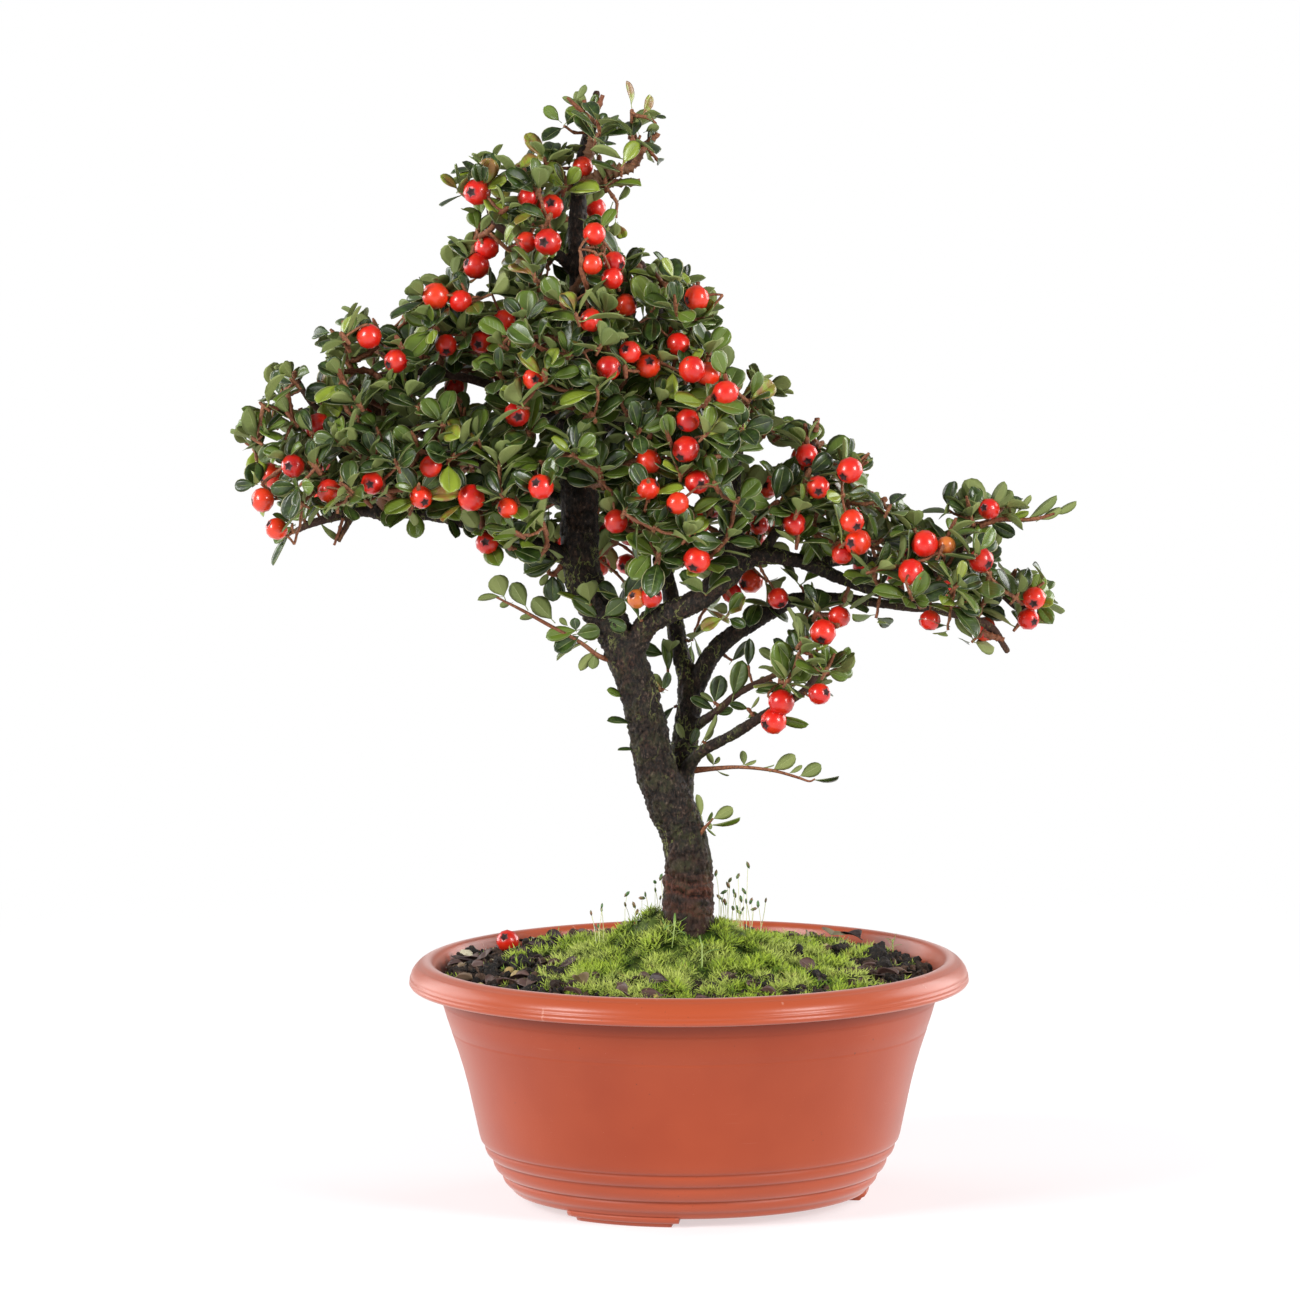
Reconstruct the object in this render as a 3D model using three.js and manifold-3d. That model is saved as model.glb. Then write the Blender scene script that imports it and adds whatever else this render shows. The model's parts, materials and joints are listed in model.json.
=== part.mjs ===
// Cotoneaster bonsai in a round plastic training bowl.
// Millimetres, +Z up. The front of the tree faces -Y, its long left limb reaches towards -X.
// The shapes are made round the bowl's axis, and the whole group is shifted once at the end,
// so that the origin lies under the middle of the tree's bounding box, on the ground.
import * as THREE from 'three';
import { mergeVertices } from 'three/addons/utils/BufferGeometryUtils.js';
import Module from 'manifold-3d';

const wasm = await Module();
wasm.setup();

// Driving dimensions
const GAP = 0.3; // clear space between two pieces that touch on the real tree
const SEED = 7;

const BOWL = {
  segments: 24,
  footHeight: 3,
  footInnerRadius: 50,
  footTurns: [-113.5, 6.5, 126.5], // degrees from +X
  footSpread: 34, // degrees, at the ground
  footStep: 5, // degrees, the stepped ends
  drainRadius: 4,
  drainCircle: 32,
  drainCount: 4,
};

// Half section of the bowl's outside, from the raised base edge to the top of the lip: [radius, height]
const BOWL_OUTSIDE = [
  [0, 3], [59.4, 3], [61.6, 5.2], [63.6, 7.4], [63.4, 9.3], [66.4, 11.6], [66.9, 14.8],
  [69.4, 16.8], [69.6, 19.3], [71.4, 21.6], [73, 29], [75.4, 40], [78.6, 51.5], [82.5, 62.4],
  [84.5, 69], [85.2, 74.2], [92.4, 74.6], [93.4, 73.2], [95, 74.6], [94.6, 77.4], [92.2, 80.4], [88.2, 82],
];
// Half section of the bowl's inside, from the lip down to the middle of the floor
const BOWL_INSIDE = [
  [86.6, 80.8], [84.4, 74.5], [80.4, 62], [76.6, 51.5], [73.2, 38], [69, 21], [58, 6], [0, 5.6],
];
// Outside of a foot: it carries the bowl's taper on down to the ground
const FOOT_OUTSIDE = [[58.5, 0], [61, 2.8], [61, 4.5]];

const GROUND = {
  wallHeight: 75.2, // soil against the bowl's wall
  bed: 7, // rise of the whole bed towards the middle
  hill: 8, // rise of the hill round the trunk
  hillRadius: 24,
  radius: 83.9,
  heap: 0.9, // more soil on the back left
  rings: [13, 25, 40, 64, 75],
};

const MOSS = {
  radius: 58,
  ragged: 7, // how far the edge wanders in and out
  thickness: 2.6,
  tuft: 0.9, // relief
  climb: 5.5, // how far it climbs the left side of the trunk
};

// The limbs as the tree grew them. A route holds [x, y, z, radius] points, sides is for the section.
const LIMBS = [
  { sides: 8, route: [ // main trunk, from the stump in the soil to the tip of the tree
    [0, 0, 64, 7], [0, 0, 79, 10.5], [0, 0, 93, 8.6], [0, 0, 109, 7.9], [-1, 0, 123, 7.5], [-6, 0, 135, 7.6],
    [-11, 0, 148, 6.6], [-14, -2, 164, 6.2], [-17, -3, 175, 6.3], [-21, -4, 186, 6.4], [-26, -4, 197, 5.9],
    [-33, -3, 207, 5.8], [-36, -2, 219, 6.1], [-36, 0, 233, 6.3], [-36, 2, 247, 6], [-35, 4, 260, 5.2],
    [-35, 4, 273, 4.3], [-35, 3, 292, 3.5], [-36, 2, 311, 2.9], [-36, 1, 330, 2.9], [-35, 1, 347, 2.6],
    [-32, 0, 362, 1.9], [-29, 0, 376, 1.2],
  ] },
  { sides: 8, route: [ // second trunk, then its stem that leans to the back
    [-4, 3, 132, 5], [-2, 8, 147, 4.4], [0, 11, 160, 4.2], [1, 12, 174, 3.8], [-2, 16, 183, 3],
    [-4, 20, 194, 3], [-6, 26, 207, 2.5], [-9, 32, 221, 2.2], [-12, 36, 235, 1.9], [-15, 40, 250, 1.4],
  ] },
  { sides: 6, route: [ // right limb of the second trunk
    [0, 12, 168, 3.4], [9, 10, 185, 2.9], [18, 8, 193, 2.9], [29, 6, 200, 2.7], [38, 4, 204, 2.2],
    [53, 2, 204, 1.9], [77, 0, 201, 1.5], [88, 2, 201, 1.2],
  ] },
  { sides: 7, route: [ // limb that leaves the main trunk to the right and then climbs
    [-20, -4, 184, 4.4], [-14, -8, 196, 3.9], [-6, -10, 201, 3.7], [3, -12, 205, 3.7], [10, -12, 211, 3.7],
    [16, -10, 217, 4.1], [15, -7, 232, 3.8], [16, -4, 250, 2.9], [21, 0, 272, 1.7], [25, 2, 281, 1.2],
  ] },
  { sides: 6, route: [ // long right limb
    [14, -10, 215, 3.4], [24, -12, 220, 2.9], [35, -13, 219, 2.5], [44, -13, 216, 2.2], [55, -12, 211, 2],
    [80, -12, 203, 1.7], [100, -13, 197, 1.4], [106, -13, 191, 1.2],
  ] },
  { sides: 5, route: [ // its upper fork, out to the right end
    [42, -12, 217, 2], [55, -4, 218, 1.9], [69, 4, 215, 1.7], [83, 8, 211, 1.5], [95, 10, 210, 1.4],
    [106, 8, 205, 1.2], [113, 4, 200, 1.2], [119, 0, 204, 1],
  ] },
  { sides: 5, route: [[83, 8, 211, 1.4], [92, 4, 219, 1.2], [94, 0, 227, 1.1], [101, -2, 229, 1]] },
  { sides: 5, route: [[100, -12, 197, 1.3], [104, -13, 193, 1.2], [108, -14, 187, 1.1]] },
  { sides: 5, route: [ // limb that crosses from the main trunk in front
    [-34, 0, 246, 2.4], [-25, -10, 242, 1.9], [-16, -15, 236, 1.7], [-6, -17, 228, 1.5], [9, -12, 216, 1.3],
  ] },
  { sides: 6, route: [ // long left limb
    [-35, -2, 216, 3.4], [-46, -6, 222, 2.7], [-56, -10, 226, 2.4], [-67, -12, 230, 2.2], [-83, -12, 234, 2],
    [-99, -12, 236, 2], [-103, -12, 236, 3], [-107, -12, 236, 1.9], [-115, -12, 235, 1.7],
    [-126, -12, 232, 1.4], [-132, -12, 229, 1],
  ] },
  { sides: 5, route: [ // left limb above it
    [-37, 0, 236, 2.4], [-53, 8, 242, 1.7], [-75, 12, 252, 1.4], [-103, 8, 268, 1.1], [-115, 6, 273, 0.9],
  ] },
  { sides: 5, route: [ // upper left limb
    [-35, 4, 258, 2.6], [-47, 10, 266, 1.9], [-61, 14, 274, 1.7], [-76, 16, 279, 1.5], [-91, 14, 281, 1.4],
    [-104, 12, 280, 1.1],
  ] },
  { sides: 6, route: [ // leader of the upper right lobe
    [-34, 2, 252, 4.2], [-25, 2, 262, 3.4], [-17, 2, 271, 3], [-12, 2, 282, 2.7], [-9, 0, 295, 2.2],
    [-10, -2, 307, 1.7], [-15, -3, 319, 1.2],
  ] },
  { sides: 5, route: [[-36, 2, 314, 2.2], [-45, -4, 323, 1.7], [-62, -10, 331, 1.4], [-66, -10, 340, 1.2]] },
  { sides: 5, route: [[-35, 1, 343, 2], [-28, -3, 347, 1.7], [-20, -5, 350, 1.5], [-12, -6, 359, 1.2]] },
  { sides: 5, route: [ // low right limb
    [-2, 6, 143, 2.8], [4, 0, 152, 1.9], [15, -8, 159, 1.9], [25, -14, 166, 1.7], [33, -18, 171, 1.5],
    [40, -20, 176, 1.4], [44, -20, 183, 1.2],
  ] },
  { sides: 5, route: [[0, 10, 158, 2.2], [10, 2, 166, 1.4], [18, -2, 173, 1.3], [33, -8, 181, 1]] },
  { sides: 5, route: [[17, -3, 254, 2.4], [17, -10, 259, 1.6], [19, -14, 268, 1.4]] }, // pruned stubs
  { sides: 5, route: [[-11, 1, 288, 2.4], [-4, -3, 292, 1.5], [1, -6, 304, 1.3]] },
  { sides: 5, route: [[-100, 9, 266, 1.1], [-122, 4, 268, 1.3], [-132, 2, 281, 1.1]] },
  { sides: 5, route: [[-112, -12, 235, 1.3], [-117, -14, 226, 0.9]] },
  { sides: 5, route: [[24, -12, 219, 2], [38, -6, 240, 1.4], [43, -4, 258, 1.2]] },
];

// The sprays of leaves: the heart of each one and its reach along X, Y and Z
const SPRAYS = {
  apex_spray: { at: [-19, -13, 357], reach: [15, 14, 13] },
  apex_left_spray: { at: [-58, -9, 341], reach: [20, 18, 15] },
  upper_front_spray: { at: [-38, -21, 318], reach: [24, 17, 19] },
  upper_back_spray: { at: [-33, 22, 316], reach: [24, 17, 20] },
  top_right_front_spray: { at: [-7, -20, 300], reach: [19, 17, 19] },
  top_right_back_spray: { at: [-4, 20, 298], reach: [19, 17, 19] },
  left_crest_spray: { at: [-78, -2, 302], reach: [23, 22, 17] },
  left_top_front_spray: { at: [-107, -17, 284], reach: [24, 17, 18] },
  left_top_back_spray: { at: [-102, 27, 281], reach: [25, 18, 18] },
  left_tip_spray: { at: [-136, -6, 266], reach: [21, 20, 15] },
  left_low_front_spray: { at: [-108, -31, 251], reach: [25, 18, 17] },
  left_low_back_spray: { at: [-108, 24, 249], reach: [25, 18, 17] },
  left_inner_front_spray: { at: [-76, -31, 255], reach: [24, 18, 20] },
  left_inner_back_spray: { at: [-74, 36, 257], reach: [24, 18, 20] },
  centre_front_spray: { at: [-38, -36, 286], reach: [26, 20, 21] },
  centre_low_front_spray: { at: [-44, -34, 245], reach: [23, 17, 20] },
  centre_back_spray: { at: [-38, 42, 280], reach: [28, 20, 26] },
  centre_low_back_spray: { at: [-36, 38, 233], reach: [24, 18, 18] },
  low_left_spray: { at: [-56, -22, 219], reach: [15, 14, 13] },
  heart_front_spray: { at: [0, -34, 270], reach: [22, 18, 20] },
  heart_back_spray: { at: [4, 34, 268], reach: [24, 20, 24] },
  heart_low_front_spray: { at: [-2, -38, 236], reach: [20, 15, 17] },
  heart_low_back_spray: { at: [10, 42, 228], reach: [24, 17, 18] },
  right_crest_spray: { at: [35, 3, 266], reach: [19, 20, 17] },
  shoulder_front_spray: { at: [52, -24, 239], reach: [22, 16, 18] },
  shoulder_back_spray: { at: [52, 21, 240], reach: [23, 18, 18] },
  right_front_spray: { at: [80, -27, 216], reach: [21, 13, 14] },
  right_back_spray: { at: [78, 22, 222], reach: [23, 15, 14] },
  right_end_spray: { at: [108, -5, 208], reach: [18, 17, 14] },
  right_top_spray: { at: [99, 5, 235], reach: [13, 12, 9] },
  low_right_spray: { at: [42, -22, 188], reach: [17, 16, 17] },
};

// Slender shoots with leaves in two rows: the middle line as [x, y, z, radius], and how many leaves
const SHOOTS = {
  low_left_shoot: { leaves: 6, route: [
    [-24, -4, 184, 1], [-37, -9, 191, 0.8], [-46, -10, 197, 0.8], [-55, -10, 203, 0.7], [-64, -10, 207, 0.6],
    [-70, -10, 207, 0.5],
  ] },
  low_right_shoot: { leaves: 6, route: [
    [0, 8, 145, 1.2], [15, 2, 146, 0.8], [25, -2, 147, 0.8], [35, -4, 145, 0.7], [42, -5, 143, 0.6],
    [50, -6, 145, 0.5],
  ] },
  trunk_sprout: { leaves: 3, route: [
    [0, 0, 125, 1], [6, -4, 129, 0.8], [9, -7, 131, 0.7], [11, -8, 134, 0.6],
  ] },
  right_tip_shoot: { leaves: 4, route: [[99, -2, 229, 0.9], [111, -3, 230, 0.8], [124, -4, 232, 0.6]] },
  apex_shoot: { leaves: 4, route: [[-31, 0, 366, 1.2], [-36, -4, 371, 0.8], [-39, -5, 374, 0.7]] },
};

const LEAF = { length: 11.5, width: 6.6, thickness: 0.66, fold: 0.3 };
// One side of a leaf's outline: [share of the length, share of the half width]
const LEAF_EDGE = [[0.56, 1], [0.87, 0.68]];
// Leaves stand in whorls at the ends of the twigs
const WHORL = { leaves: 4, spread: 62, twigs: 2, twigRadius: 0.75 };
const CROWN_CENTRE = [-30, 0, 258];

const BERRY = {
  radius: 4.5,
  sprigRadius: 0.9,
  stalkRadius: 0.6,
  stalkLength: 2.5,
  stalkSpacing: 4,
};
// The bunches of berries: the middle of each bunch, and how many berries hang there
const BUNCHES = [
  { at: [-34, -12, 340], count: 3 },
  { at: [-66, -16, 322], count: 2 },
  { at: [-24, -24, 309], count: 3 },
  { at: [-27, 27, 296], count: 3 },
  { at: [-84, -20, 288], count: 3 },
  { at: [-60, -40, 272], count: 2 },
  { at: [-128, -24, 252], count: 3 },
  { at: [-88, -36, 240], count: 3 },
  { at: [-90, 6, 226], count: 2 },
  { at: [0, -28, 288], count: 3 },
  { at: [-16, -44, 256], count: 3 },
  { at: [-22, 50, 254], count: 3 },
  { at: [26, -32, 250], count: 2 },
  { at: [57, -32, 222], count: 3 },
  { at: [97, -16, 216], count: 2 },
  { at: [112, -14, 194], count: 2 },
  { at: [30, -28, 171], count: 2 },
];

const CHIPS = { count: 8, nearest: 69, furthest: 77, size: 3.4 };
const FALLEN_BERRY = { at: [-62, 33], radius: 4.1 };

const COLOURS = {
  bowl: { color: 0xbf5a38, roughness: 0.45 },
  soil: { color: 0x2e241d, roughness: 0.95 },
  moss: { color: 0x6f9a2b, roughness: 0.95 },
  bark: { color: 0x3b2d26, roughness: 0.9 },
  leaf: { color: 0x49662f, roughness: 0.5 },
  berry: { color: 0xd3260f, roughness: 0.3 },
};

// Numbers drawn by rule
// The same keys always give the same number between 0 and 1.
function draw(...keys) {
  let mix = 2166136261 ^ SEED;
  for (const key of keys) {
    mix = Math.imul(mix ^ (key + 1), 16777619);
    mix ^= mix >>> 13;
    mix = Math.imul(mix, 1540483477);
    mix ^= mix >>> 15;
  }
  return (mix >>> 0) / 4294967296;
}

function swing(...keys) {
  return 2 * draw(...keys) - 1;
}

// Gentle lumps over the ground, the same at each place whichever piece asks
function lumps(x, y) {
  return 0.5 * Math.sin(0.31 * x + 1.3) * Math.cos(0.27 * y)
    + 0.3 * Math.sin(0.52 * x - 0.47 * y)
    + 0.2 * Math.cos(0.83 * y + 0.35 * x);
}

// From geometry to solids
function trianglesOf(geometry) {
  const bare = geometry.clone();
  for (const name of Object.keys(bare.attributes)) {
    if (name !== 'position') {
      bare.deleteAttribute(name);
    }
  }
  const welded = mergeVertices(bare, 1e-3);
  const corners = welded.index.array;
  const kept = [];
  for (let i = 0; i < corners.length; i += 3) {
    const [a, b, c] = corners.subarray(i, i + 3);
    if (a !== b && b !== c && c !== a) {
      kept.push(a, b, c);
    }
  }
  return { points: welded.attributes.position.array, corners: kept };
}

function solidOf(geometry) {
  const { points, corners } = trianglesOf(geometry);
  const mesh = new wasm.Mesh({
    numProp: 3,
    vertProperties: new Float32Array(points),
    triVerts: new Uint32Array(corners),
  });
  return new wasm.Manifold(mesh);
}

function geometryOf(solid) {
  const mesh = solid.getMesh();
  const geometry = new THREE.BufferGeometry();
  geometry.setAttribute('position', new THREE.BufferAttribute(new Float32Array(mesh.vertProperties), 3));
  geometry.setIndex(new THREE.BufferAttribute(new Uint32Array(mesh.triVerts), 1));
  geometry.computeVertexNormals();
  return geometry;
}

function joined(solids) {
  return solids.reduce((whole, solid) => whole.add(solid));
}

// A cut can leave a scrap: the piece is the largest body
function largestBody(solid) {
  const bodies = solid.decompose();
  return bodies.reduce((best, body) => (body.volume() > best.volume() ? body : best));
}

function vector(point) {
  return new THREE.Vector3(point[0], point[1], point[2]);
}

// Basic forms
function turned(profile, segments) {
  const points = profile.map(([radius, height]) => new THREE.Vector2(radius, height));
  const geometry = new THREE.LatheGeometry(points, segments);
  geometry.rotateX(Math.PI / 2);
  return geometry;
}

function disc(radius, low, high, sides) {
  const geometry = new THREE.CylinderGeometry(radius, radius, high - low, sides);
  geometry.rotateX(Math.PI / 2);
  geometry.translate(0, 0, (low + high) / 2);
  return geometry;
}

function curveOf(route) {
  return new THREE.CatmullRomCurve3(route.map(vector), false, 'catmullrom', 0.5);
}

// The centre and radius of each ring of a limb
function ringsOf(route) {
  const curve = curveOf(route);
  const steps = route.length - 1;
  return route.map((_, step) => {
    const share = curve.getUtoTmapping(step / steps) * steps;
    const span = Math.min(steps - 1, Math.floor(share));
    const radius = THREE.MathUtils.lerp(route[span][3], route[span + 1][3], share - span);
    return { centre: curve.getPointAt(step / steps), radius };
  });
}

// A tapering tube: a cylinder with straight sides, bent along the smooth line through the route's points
function limbGeometry(route, sides, grow, knobbly) {
  const rings = ringsOf(route);
  const steps = rings.length - 1;
  const frames = curveOf(route).computeFrenetFrames(steps, false);
  const geometry = new THREE.CylinderGeometry(1, 1, 1, sides, steps);
  const places = geometry.attributes.position;
  for (let i = 0; i < places.count; i += 1) {
    const step = Math.round((places.getY(i) + 0.5) * steps);
    const across = places.getX(i);
    const along = places.getZ(i);
    const side = Math.round((Math.atan2(along, across) / (2 * Math.PI) + 1) * sides) % sides;
    const bark = 1 + knobbly * swing(step, side, sides);
    const reach = across === 0 && along === 0 ? 0 : rings[step].radius * bark + grow;
    const end = (step === 0 ? -grow : 0) + (step === steps ? grow : 0);
    const place = rings[step].centre.clone()
      .addScaledVector(frames.normals[step], across * reach)
      .addScaledVector(frames.binormals[step], -along * reach)
      .addScaledVector(frames.tangents[step], end);
    places.setXYZ(i, place.x, place.y, place.z);
  }
  return geometry;
}

function limbSolid(limb) {
  return solidOf(limbGeometry(limb.route, limb.sides, 0, 0.06));
}

// A straight stalk from one point to another
function stalkSolid(from, to, radius, grow) {
  const route = [[...from.toArray(), radius], [...to.toArray(), radius]];
  return solidOf(limbGeometry(route, 3, grow, 0));
}

// A small round thing with twelve corners: a berry, a chip, the heart of a spray
function knobSolid(centre, radii, turn, lean) {
  const geometry = new THREE.IcosahedronGeometry(1, 0);
  geometry.scale(radii[0], radii[1], radii[2]);
  geometry.rotateZ(turn);
  geometry.rotateX(lean);
  geometry.translate(centre.x, centre.y, centre.z);
  return solidOf(geometry);
}

// A leaf folded along its midrib, with its root at the given place
function leafSolid(leaf, grow) {
  const { root, ahead, facing, length } = leaf;
  const across = new THREE.Vector3().crossVectors(facing, ahead).normalize();
  const up = new THREE.Vector3().crossVectors(ahead, across);
  const halfWidth = (LEAF.width / LEAF.length) * length / 2 + grow;
  const halfThick = LEAF.thickness / 2 + grow;
  const reach = length + 2 * grow;
  const outline = [[0, 0]];
  LEAF_EDGE.forEach(([share, width]) => outline.push([share, -width]));
  outline.push([1, 0]);
  LEAF_EDGE.toReversed().forEach(([share, width]) => outline.push([share, width]));
  const points = [];
  for (const face of [1, -1]) {
    for (const [share, width] of outline) {
      const side = width * halfWidth;
      const place = root.clone()
        .addScaledVector(ahead, share * reach - grow)
        .addScaledVector(across, side)
        .addScaledVector(up, Math.abs(side) * LEAF.fold + face * halfThick);
      points.push(place.x, place.y, place.z);
    }
  }
  const count = outline.length;
  const tip = count / 2;
  const corners = [];
  for (let i = 0; i < count; i += 1) {
    const next = (i + 1) % count;
    corners.push(i + count, next + count, next, i + count, next, i);
    if (i !== tip && next !== tip) {
      corners.push(tip, i, next, tip + count, next + count, i + count);
    }
  }
  const geometry = new THREE.BufferGeometry();
  geometry.setAttribute('position', new THREE.BufferAttribute(new Float32Array(points), 3));
  geometry.setIndex(corners);
  return solidOf(geometry);
}

// A twig that ends in a whorl of leaves, as one closed mesh. The twig has a side for each leaf, and
// the leaves meet at the corners of its end.
function whorlSolid(from, to, keys, grow) {
  const count = WHORL.leaves;
  const axis = to.clone().sub(from).normalize();
  const level = sidewaysOf(axis, 0);
  const halfThick = LEAF.thickness / 2 + grow;
  const twigRadius = WHORL.twigRadius + grow;
  const points = [];
  const add = (point) => points.push(point) - 1;
  const corner = (centre, i, rise) => add(centre.clone()
    .addScaledVector(level.clone().applyAxisAngle(axis, (2 * i + 1) * Math.PI / count), twigRadius)
    .addScaledVector(axis, rise));
  const foot = [];
  const below = [];
  const above = [];
  for (let i = 0; i < count; i += 1) {
    foot.push(corner(from, i, 0));
    below.push(corner(to, i, -halfThick));
    above.push(corner(to, i, halfThick));
  }
  const middle = add(to.clone().addScaledVector(axis, halfThick));
  const corners = [];
  for (let i = 0; i < count; i += 1) {
    const last = (i + count - 1) % count;
    const turn = 2 * Math.PI * i / count + 0.14 * swing(...keys, i, 1);
    const out = level.clone().applyAxisAngle(axis, turn);
    const tilt = THREE.MathUtils.degToRad(WHORL.spread + 9 * swing(...keys, i, 2));
    const ahead = axis.clone().multiplyScalar(Math.cos(tilt)).addScaledVector(out, Math.sin(tilt));
    const facing = axis.clone().multiplyScalar(Math.sin(tilt)).addScaledVector(out, -Math.cos(tilt));
    const across = new THREE.Vector3().crossVectors(facing, ahead);
    const length = LEAF.length * (0.85 + 0.25 * draw(...keys, i, 3)) + grow;
    const halfWidth = LEAF.width / 2 + grow;
    const edge = [
      ...LEAF_EDGE.map(([share, width]) => [share, -width]),
      [1, 0],
      ...LEAF_EDGE.toReversed(),
    ];
    const spot = ([share, width], side) => add(to.clone()
      .addScaledVector(ahead, share * length)
      .addScaledVector(across, width * halfWidth)
      .addScaledVector(facing, Math.abs(width) * halfWidth * LEAF.fold + side * halfThick));
    const top = [above[last], ...edge.map((place) => spot(place, 1)), above[i]];
    const bottom = [below[last], ...edge.map((place) => spot(place, -1)), below[i]];
    const tip = (top.length - 1) / 2;
    for (let k = 0; k + 1 < top.length; k += 1) {
      corners.push(bottom[k], bottom[k + 1], top[k + 1], bottom[k], top[k + 1], top[k]);
      if (k !== tip && k + 1 !== tip) {
        corners.push(top[tip], top[k], top[k + 1], bottom[tip], bottom[k + 1], bottom[k]);
      }
    }
    corners.push(top[tip], above[i], middle, top[tip], middle, above[last]);
    corners.push(bottom[tip], below[last], below[i]);
    corners.push(foot[last], foot[i], below[i], foot[last], below[i], below[last]);
    if (i > 1) {
      corners.push(foot[0], foot[i], foot[i - 1]);
    }
  }
  const geometry = new THREE.BufferGeometry();
  const places = new Float32Array(points.flatMap((point) => point.toArray()));
  geometry.setAttribute('position', new THREE.BufferAttribute(places, 3));
  geometry.setIndex(corners);
  return solidOf(geometry);
}

// Keeping the pieces clear of each other
const placed = [];

function isClear(solid, node) {
  const box = solid.boundingBox();
  return placed.every((other) => {
    if (other.node === node) {
      return true;
    }
    const apart = [0, 1, 2].some((i) => box.min[i] > other.box.max[i] || box.max[i] < other.box.min[i]);
    return apart || solid.intersect(other.solid).isEmpty();
  });
}

function place(node, solid) {
  placed.push({ node, solid, box: solid.boundingBox() });
}

function solidsOf(node) {
  return placed.filter((entry) => entry.node === node).map((entry) => entry.solid);
}

// The bowl
function sectorSolid(turn, spread, low, high) {
  const half = THREE.MathUtils.degToRad(spread / 2);
  const middle = THREE.MathUtils.degToRad(turn);
  const outer = 70;
  const shape = new THREE.Shape();
  shape.moveTo(0, 0);
  shape.lineTo(outer * Math.cos(middle - half), outer * Math.sin(middle - half));
  shape.lineTo(outer * Math.cos(middle), outer * Math.sin(middle));
  shape.lineTo(outer * Math.cos(middle + half), outer * Math.sin(middle + half));
  const geometry = new THREE.ExtrudeGeometry(shape, { depth: high - low, bevelEnabled: false, steps: 1 });
  geometry.translate(0, 0, low);
  return solidOf(geometry);
}

function makeBowl() {
  const shell = solidOf(turned([...BOWL_OUTSIDE, ...BOWL_INSIDE], BOWL.segments));
  const ring = [
    [BOWL.footInnerRadius, 0], ...FOOT_OUTSIDE, [BOWL.footInnerRadius, 4.5], [BOWL.footInnerRadius, 0],
  ];
  const feet = solidOf(turned(ring, BOWL.segments));
  const sectors = BOWL.footTurns.flatMap((turn) => [
    sectorSolid(turn, BOWL.footSpread, -1, BOWL.footHeight / 2),
    sectorSolid(turn, BOWL.footSpread + BOWL.footStep, BOWL.footHeight / 2, BOWL.footHeight + 2),
  ]);
  const bowl = shell.add(feet.intersect(joined(sectors)));
  const drain = disc(BOWL.drainRadius, 0, 9, 8);
  const holes = [solidOf(drain)];
  for (let i = 0; i < BOWL.drainCount; i += 1) {
    const turn = (i + 0.5) * 2 * Math.PI / BOWL.drainCount;
    const x = BOWL.drainCircle * Math.cos(turn);
    const y = BOWL.drainCircle * Math.sin(turn);
    holes.push(solidOf(drain.clone().translate(x, y, 0)));
  }
  return bowl.subtract(joined(holes));
}

// The ground
function groundHeight(x, y) {
  const radius = Math.hypot(x, y);
  const share = Math.min(1, radius / GROUND.radius);
  const bed = GROUND.bed * (1 - share ** 2) ** 0.6;
  const hill = GROUND.hill * Math.exp(-((radius / GROUND.hillRadius) ** 2));
  const heap = GROUND.heap * Math.max(0, (0.45 * y - 0.9 * x) / GROUND.radius);
  return GROUND.wallHeight + bed + hill + heap + 0.8 * lumps(x, y);
}

function mossHeight(x, y) {
  const climb = MOSS.climb * Math.exp(-((x + 12) ** 2 + y ** 2) / 70);
  const tuft = MOSS.tuft * lumps(2.3 * x, 2.3 * y);
  return groundHeight(x, y) + MOSS.thickness + climb + tuft;
}

function reshaped(geometry, change) {
  const places = geometry.attributes.position;
  for (let i = 0; i < places.count; i += 1) {
    const x = places.getX(i);
    const y = places.getY(i);
    places.setZ(i, change(x, y, places.getZ(i)));
  }
  return geometry;
}

// Points of the top are marked by a height well above the bowl, and then set down on the ground
const TOP_MARK = 200;

// The soil without its chips, raised by the given lift
function groundSolid(lift) {
  const side = BOWL_INSIDE.filter(([, height]) => height < 70 && height > 6).toReversed();
  const wall = side.map(([radius, height]) => [radius - GAP, height]);
  const top = [...GROUND.rings, GROUND.radius].toReversed().map((radius) => [radius, TOP_MARK]);
  const profile = [[0, 5.6 + GAP], [57.5, 5.9 + GAP], ...wall, ...top, [0, TOP_MARK]];
  const body = reshaped(
    turned(profile, BOWL.segments),
    (x, y, z) => (z === TOP_MARK ? groundHeight(x, y) + lift : z),
  );
  return solidOf(body);
}

function mossOutline() {
  const shape = new THREE.Shape();
  const points = 28;
  for (let i = 0; i < points; i += 1) {
    const turn = i * 2 * Math.PI / points;
    const wander = Math.sin(3 * turn + 0.6) + 0.6 * Math.sin(7 * turn) + 0.7 * swing(i, 40);
    const radius = MOSS.radius - MOSS.ragged * 0.5 + MOSS.ragged * 0.45 * wander;
    const x = radius * Math.cos(turn);
    const y = radius * Math.sin(turn);
    if (i === 0) {
      shape.moveTo(x, y);
    } else {
      shape.lineTo(x, y);
    }
  }
  return solidOf(new THREE.ExtrudeGeometry(shape, { depth: 60, bevelEnabled: false }).translate(0, 0, 60));
}

// The moss lies on the soil, so its underside is the ground's own surface
function makeMoss() {
  const rings = GROUND.rings.filter((radius) => radius < MOSS.radius + 10);
  const outer = rings[rings.length - 1];
  const above = rings.toReversed().map((radius) => [radius, TOP_MARK]);
  const slab = reshaped(
    turned([[0, 70], [outer, 70], ...above, [0, TOP_MARK]], BOWL.segments),
    (x, y, z) => (z === TOP_MARK ? mossHeight(x, y) : z),
  );
  return solidOf(slab).intersect(mossOutline()).subtract(groundSolid(GAP));
}

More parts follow.
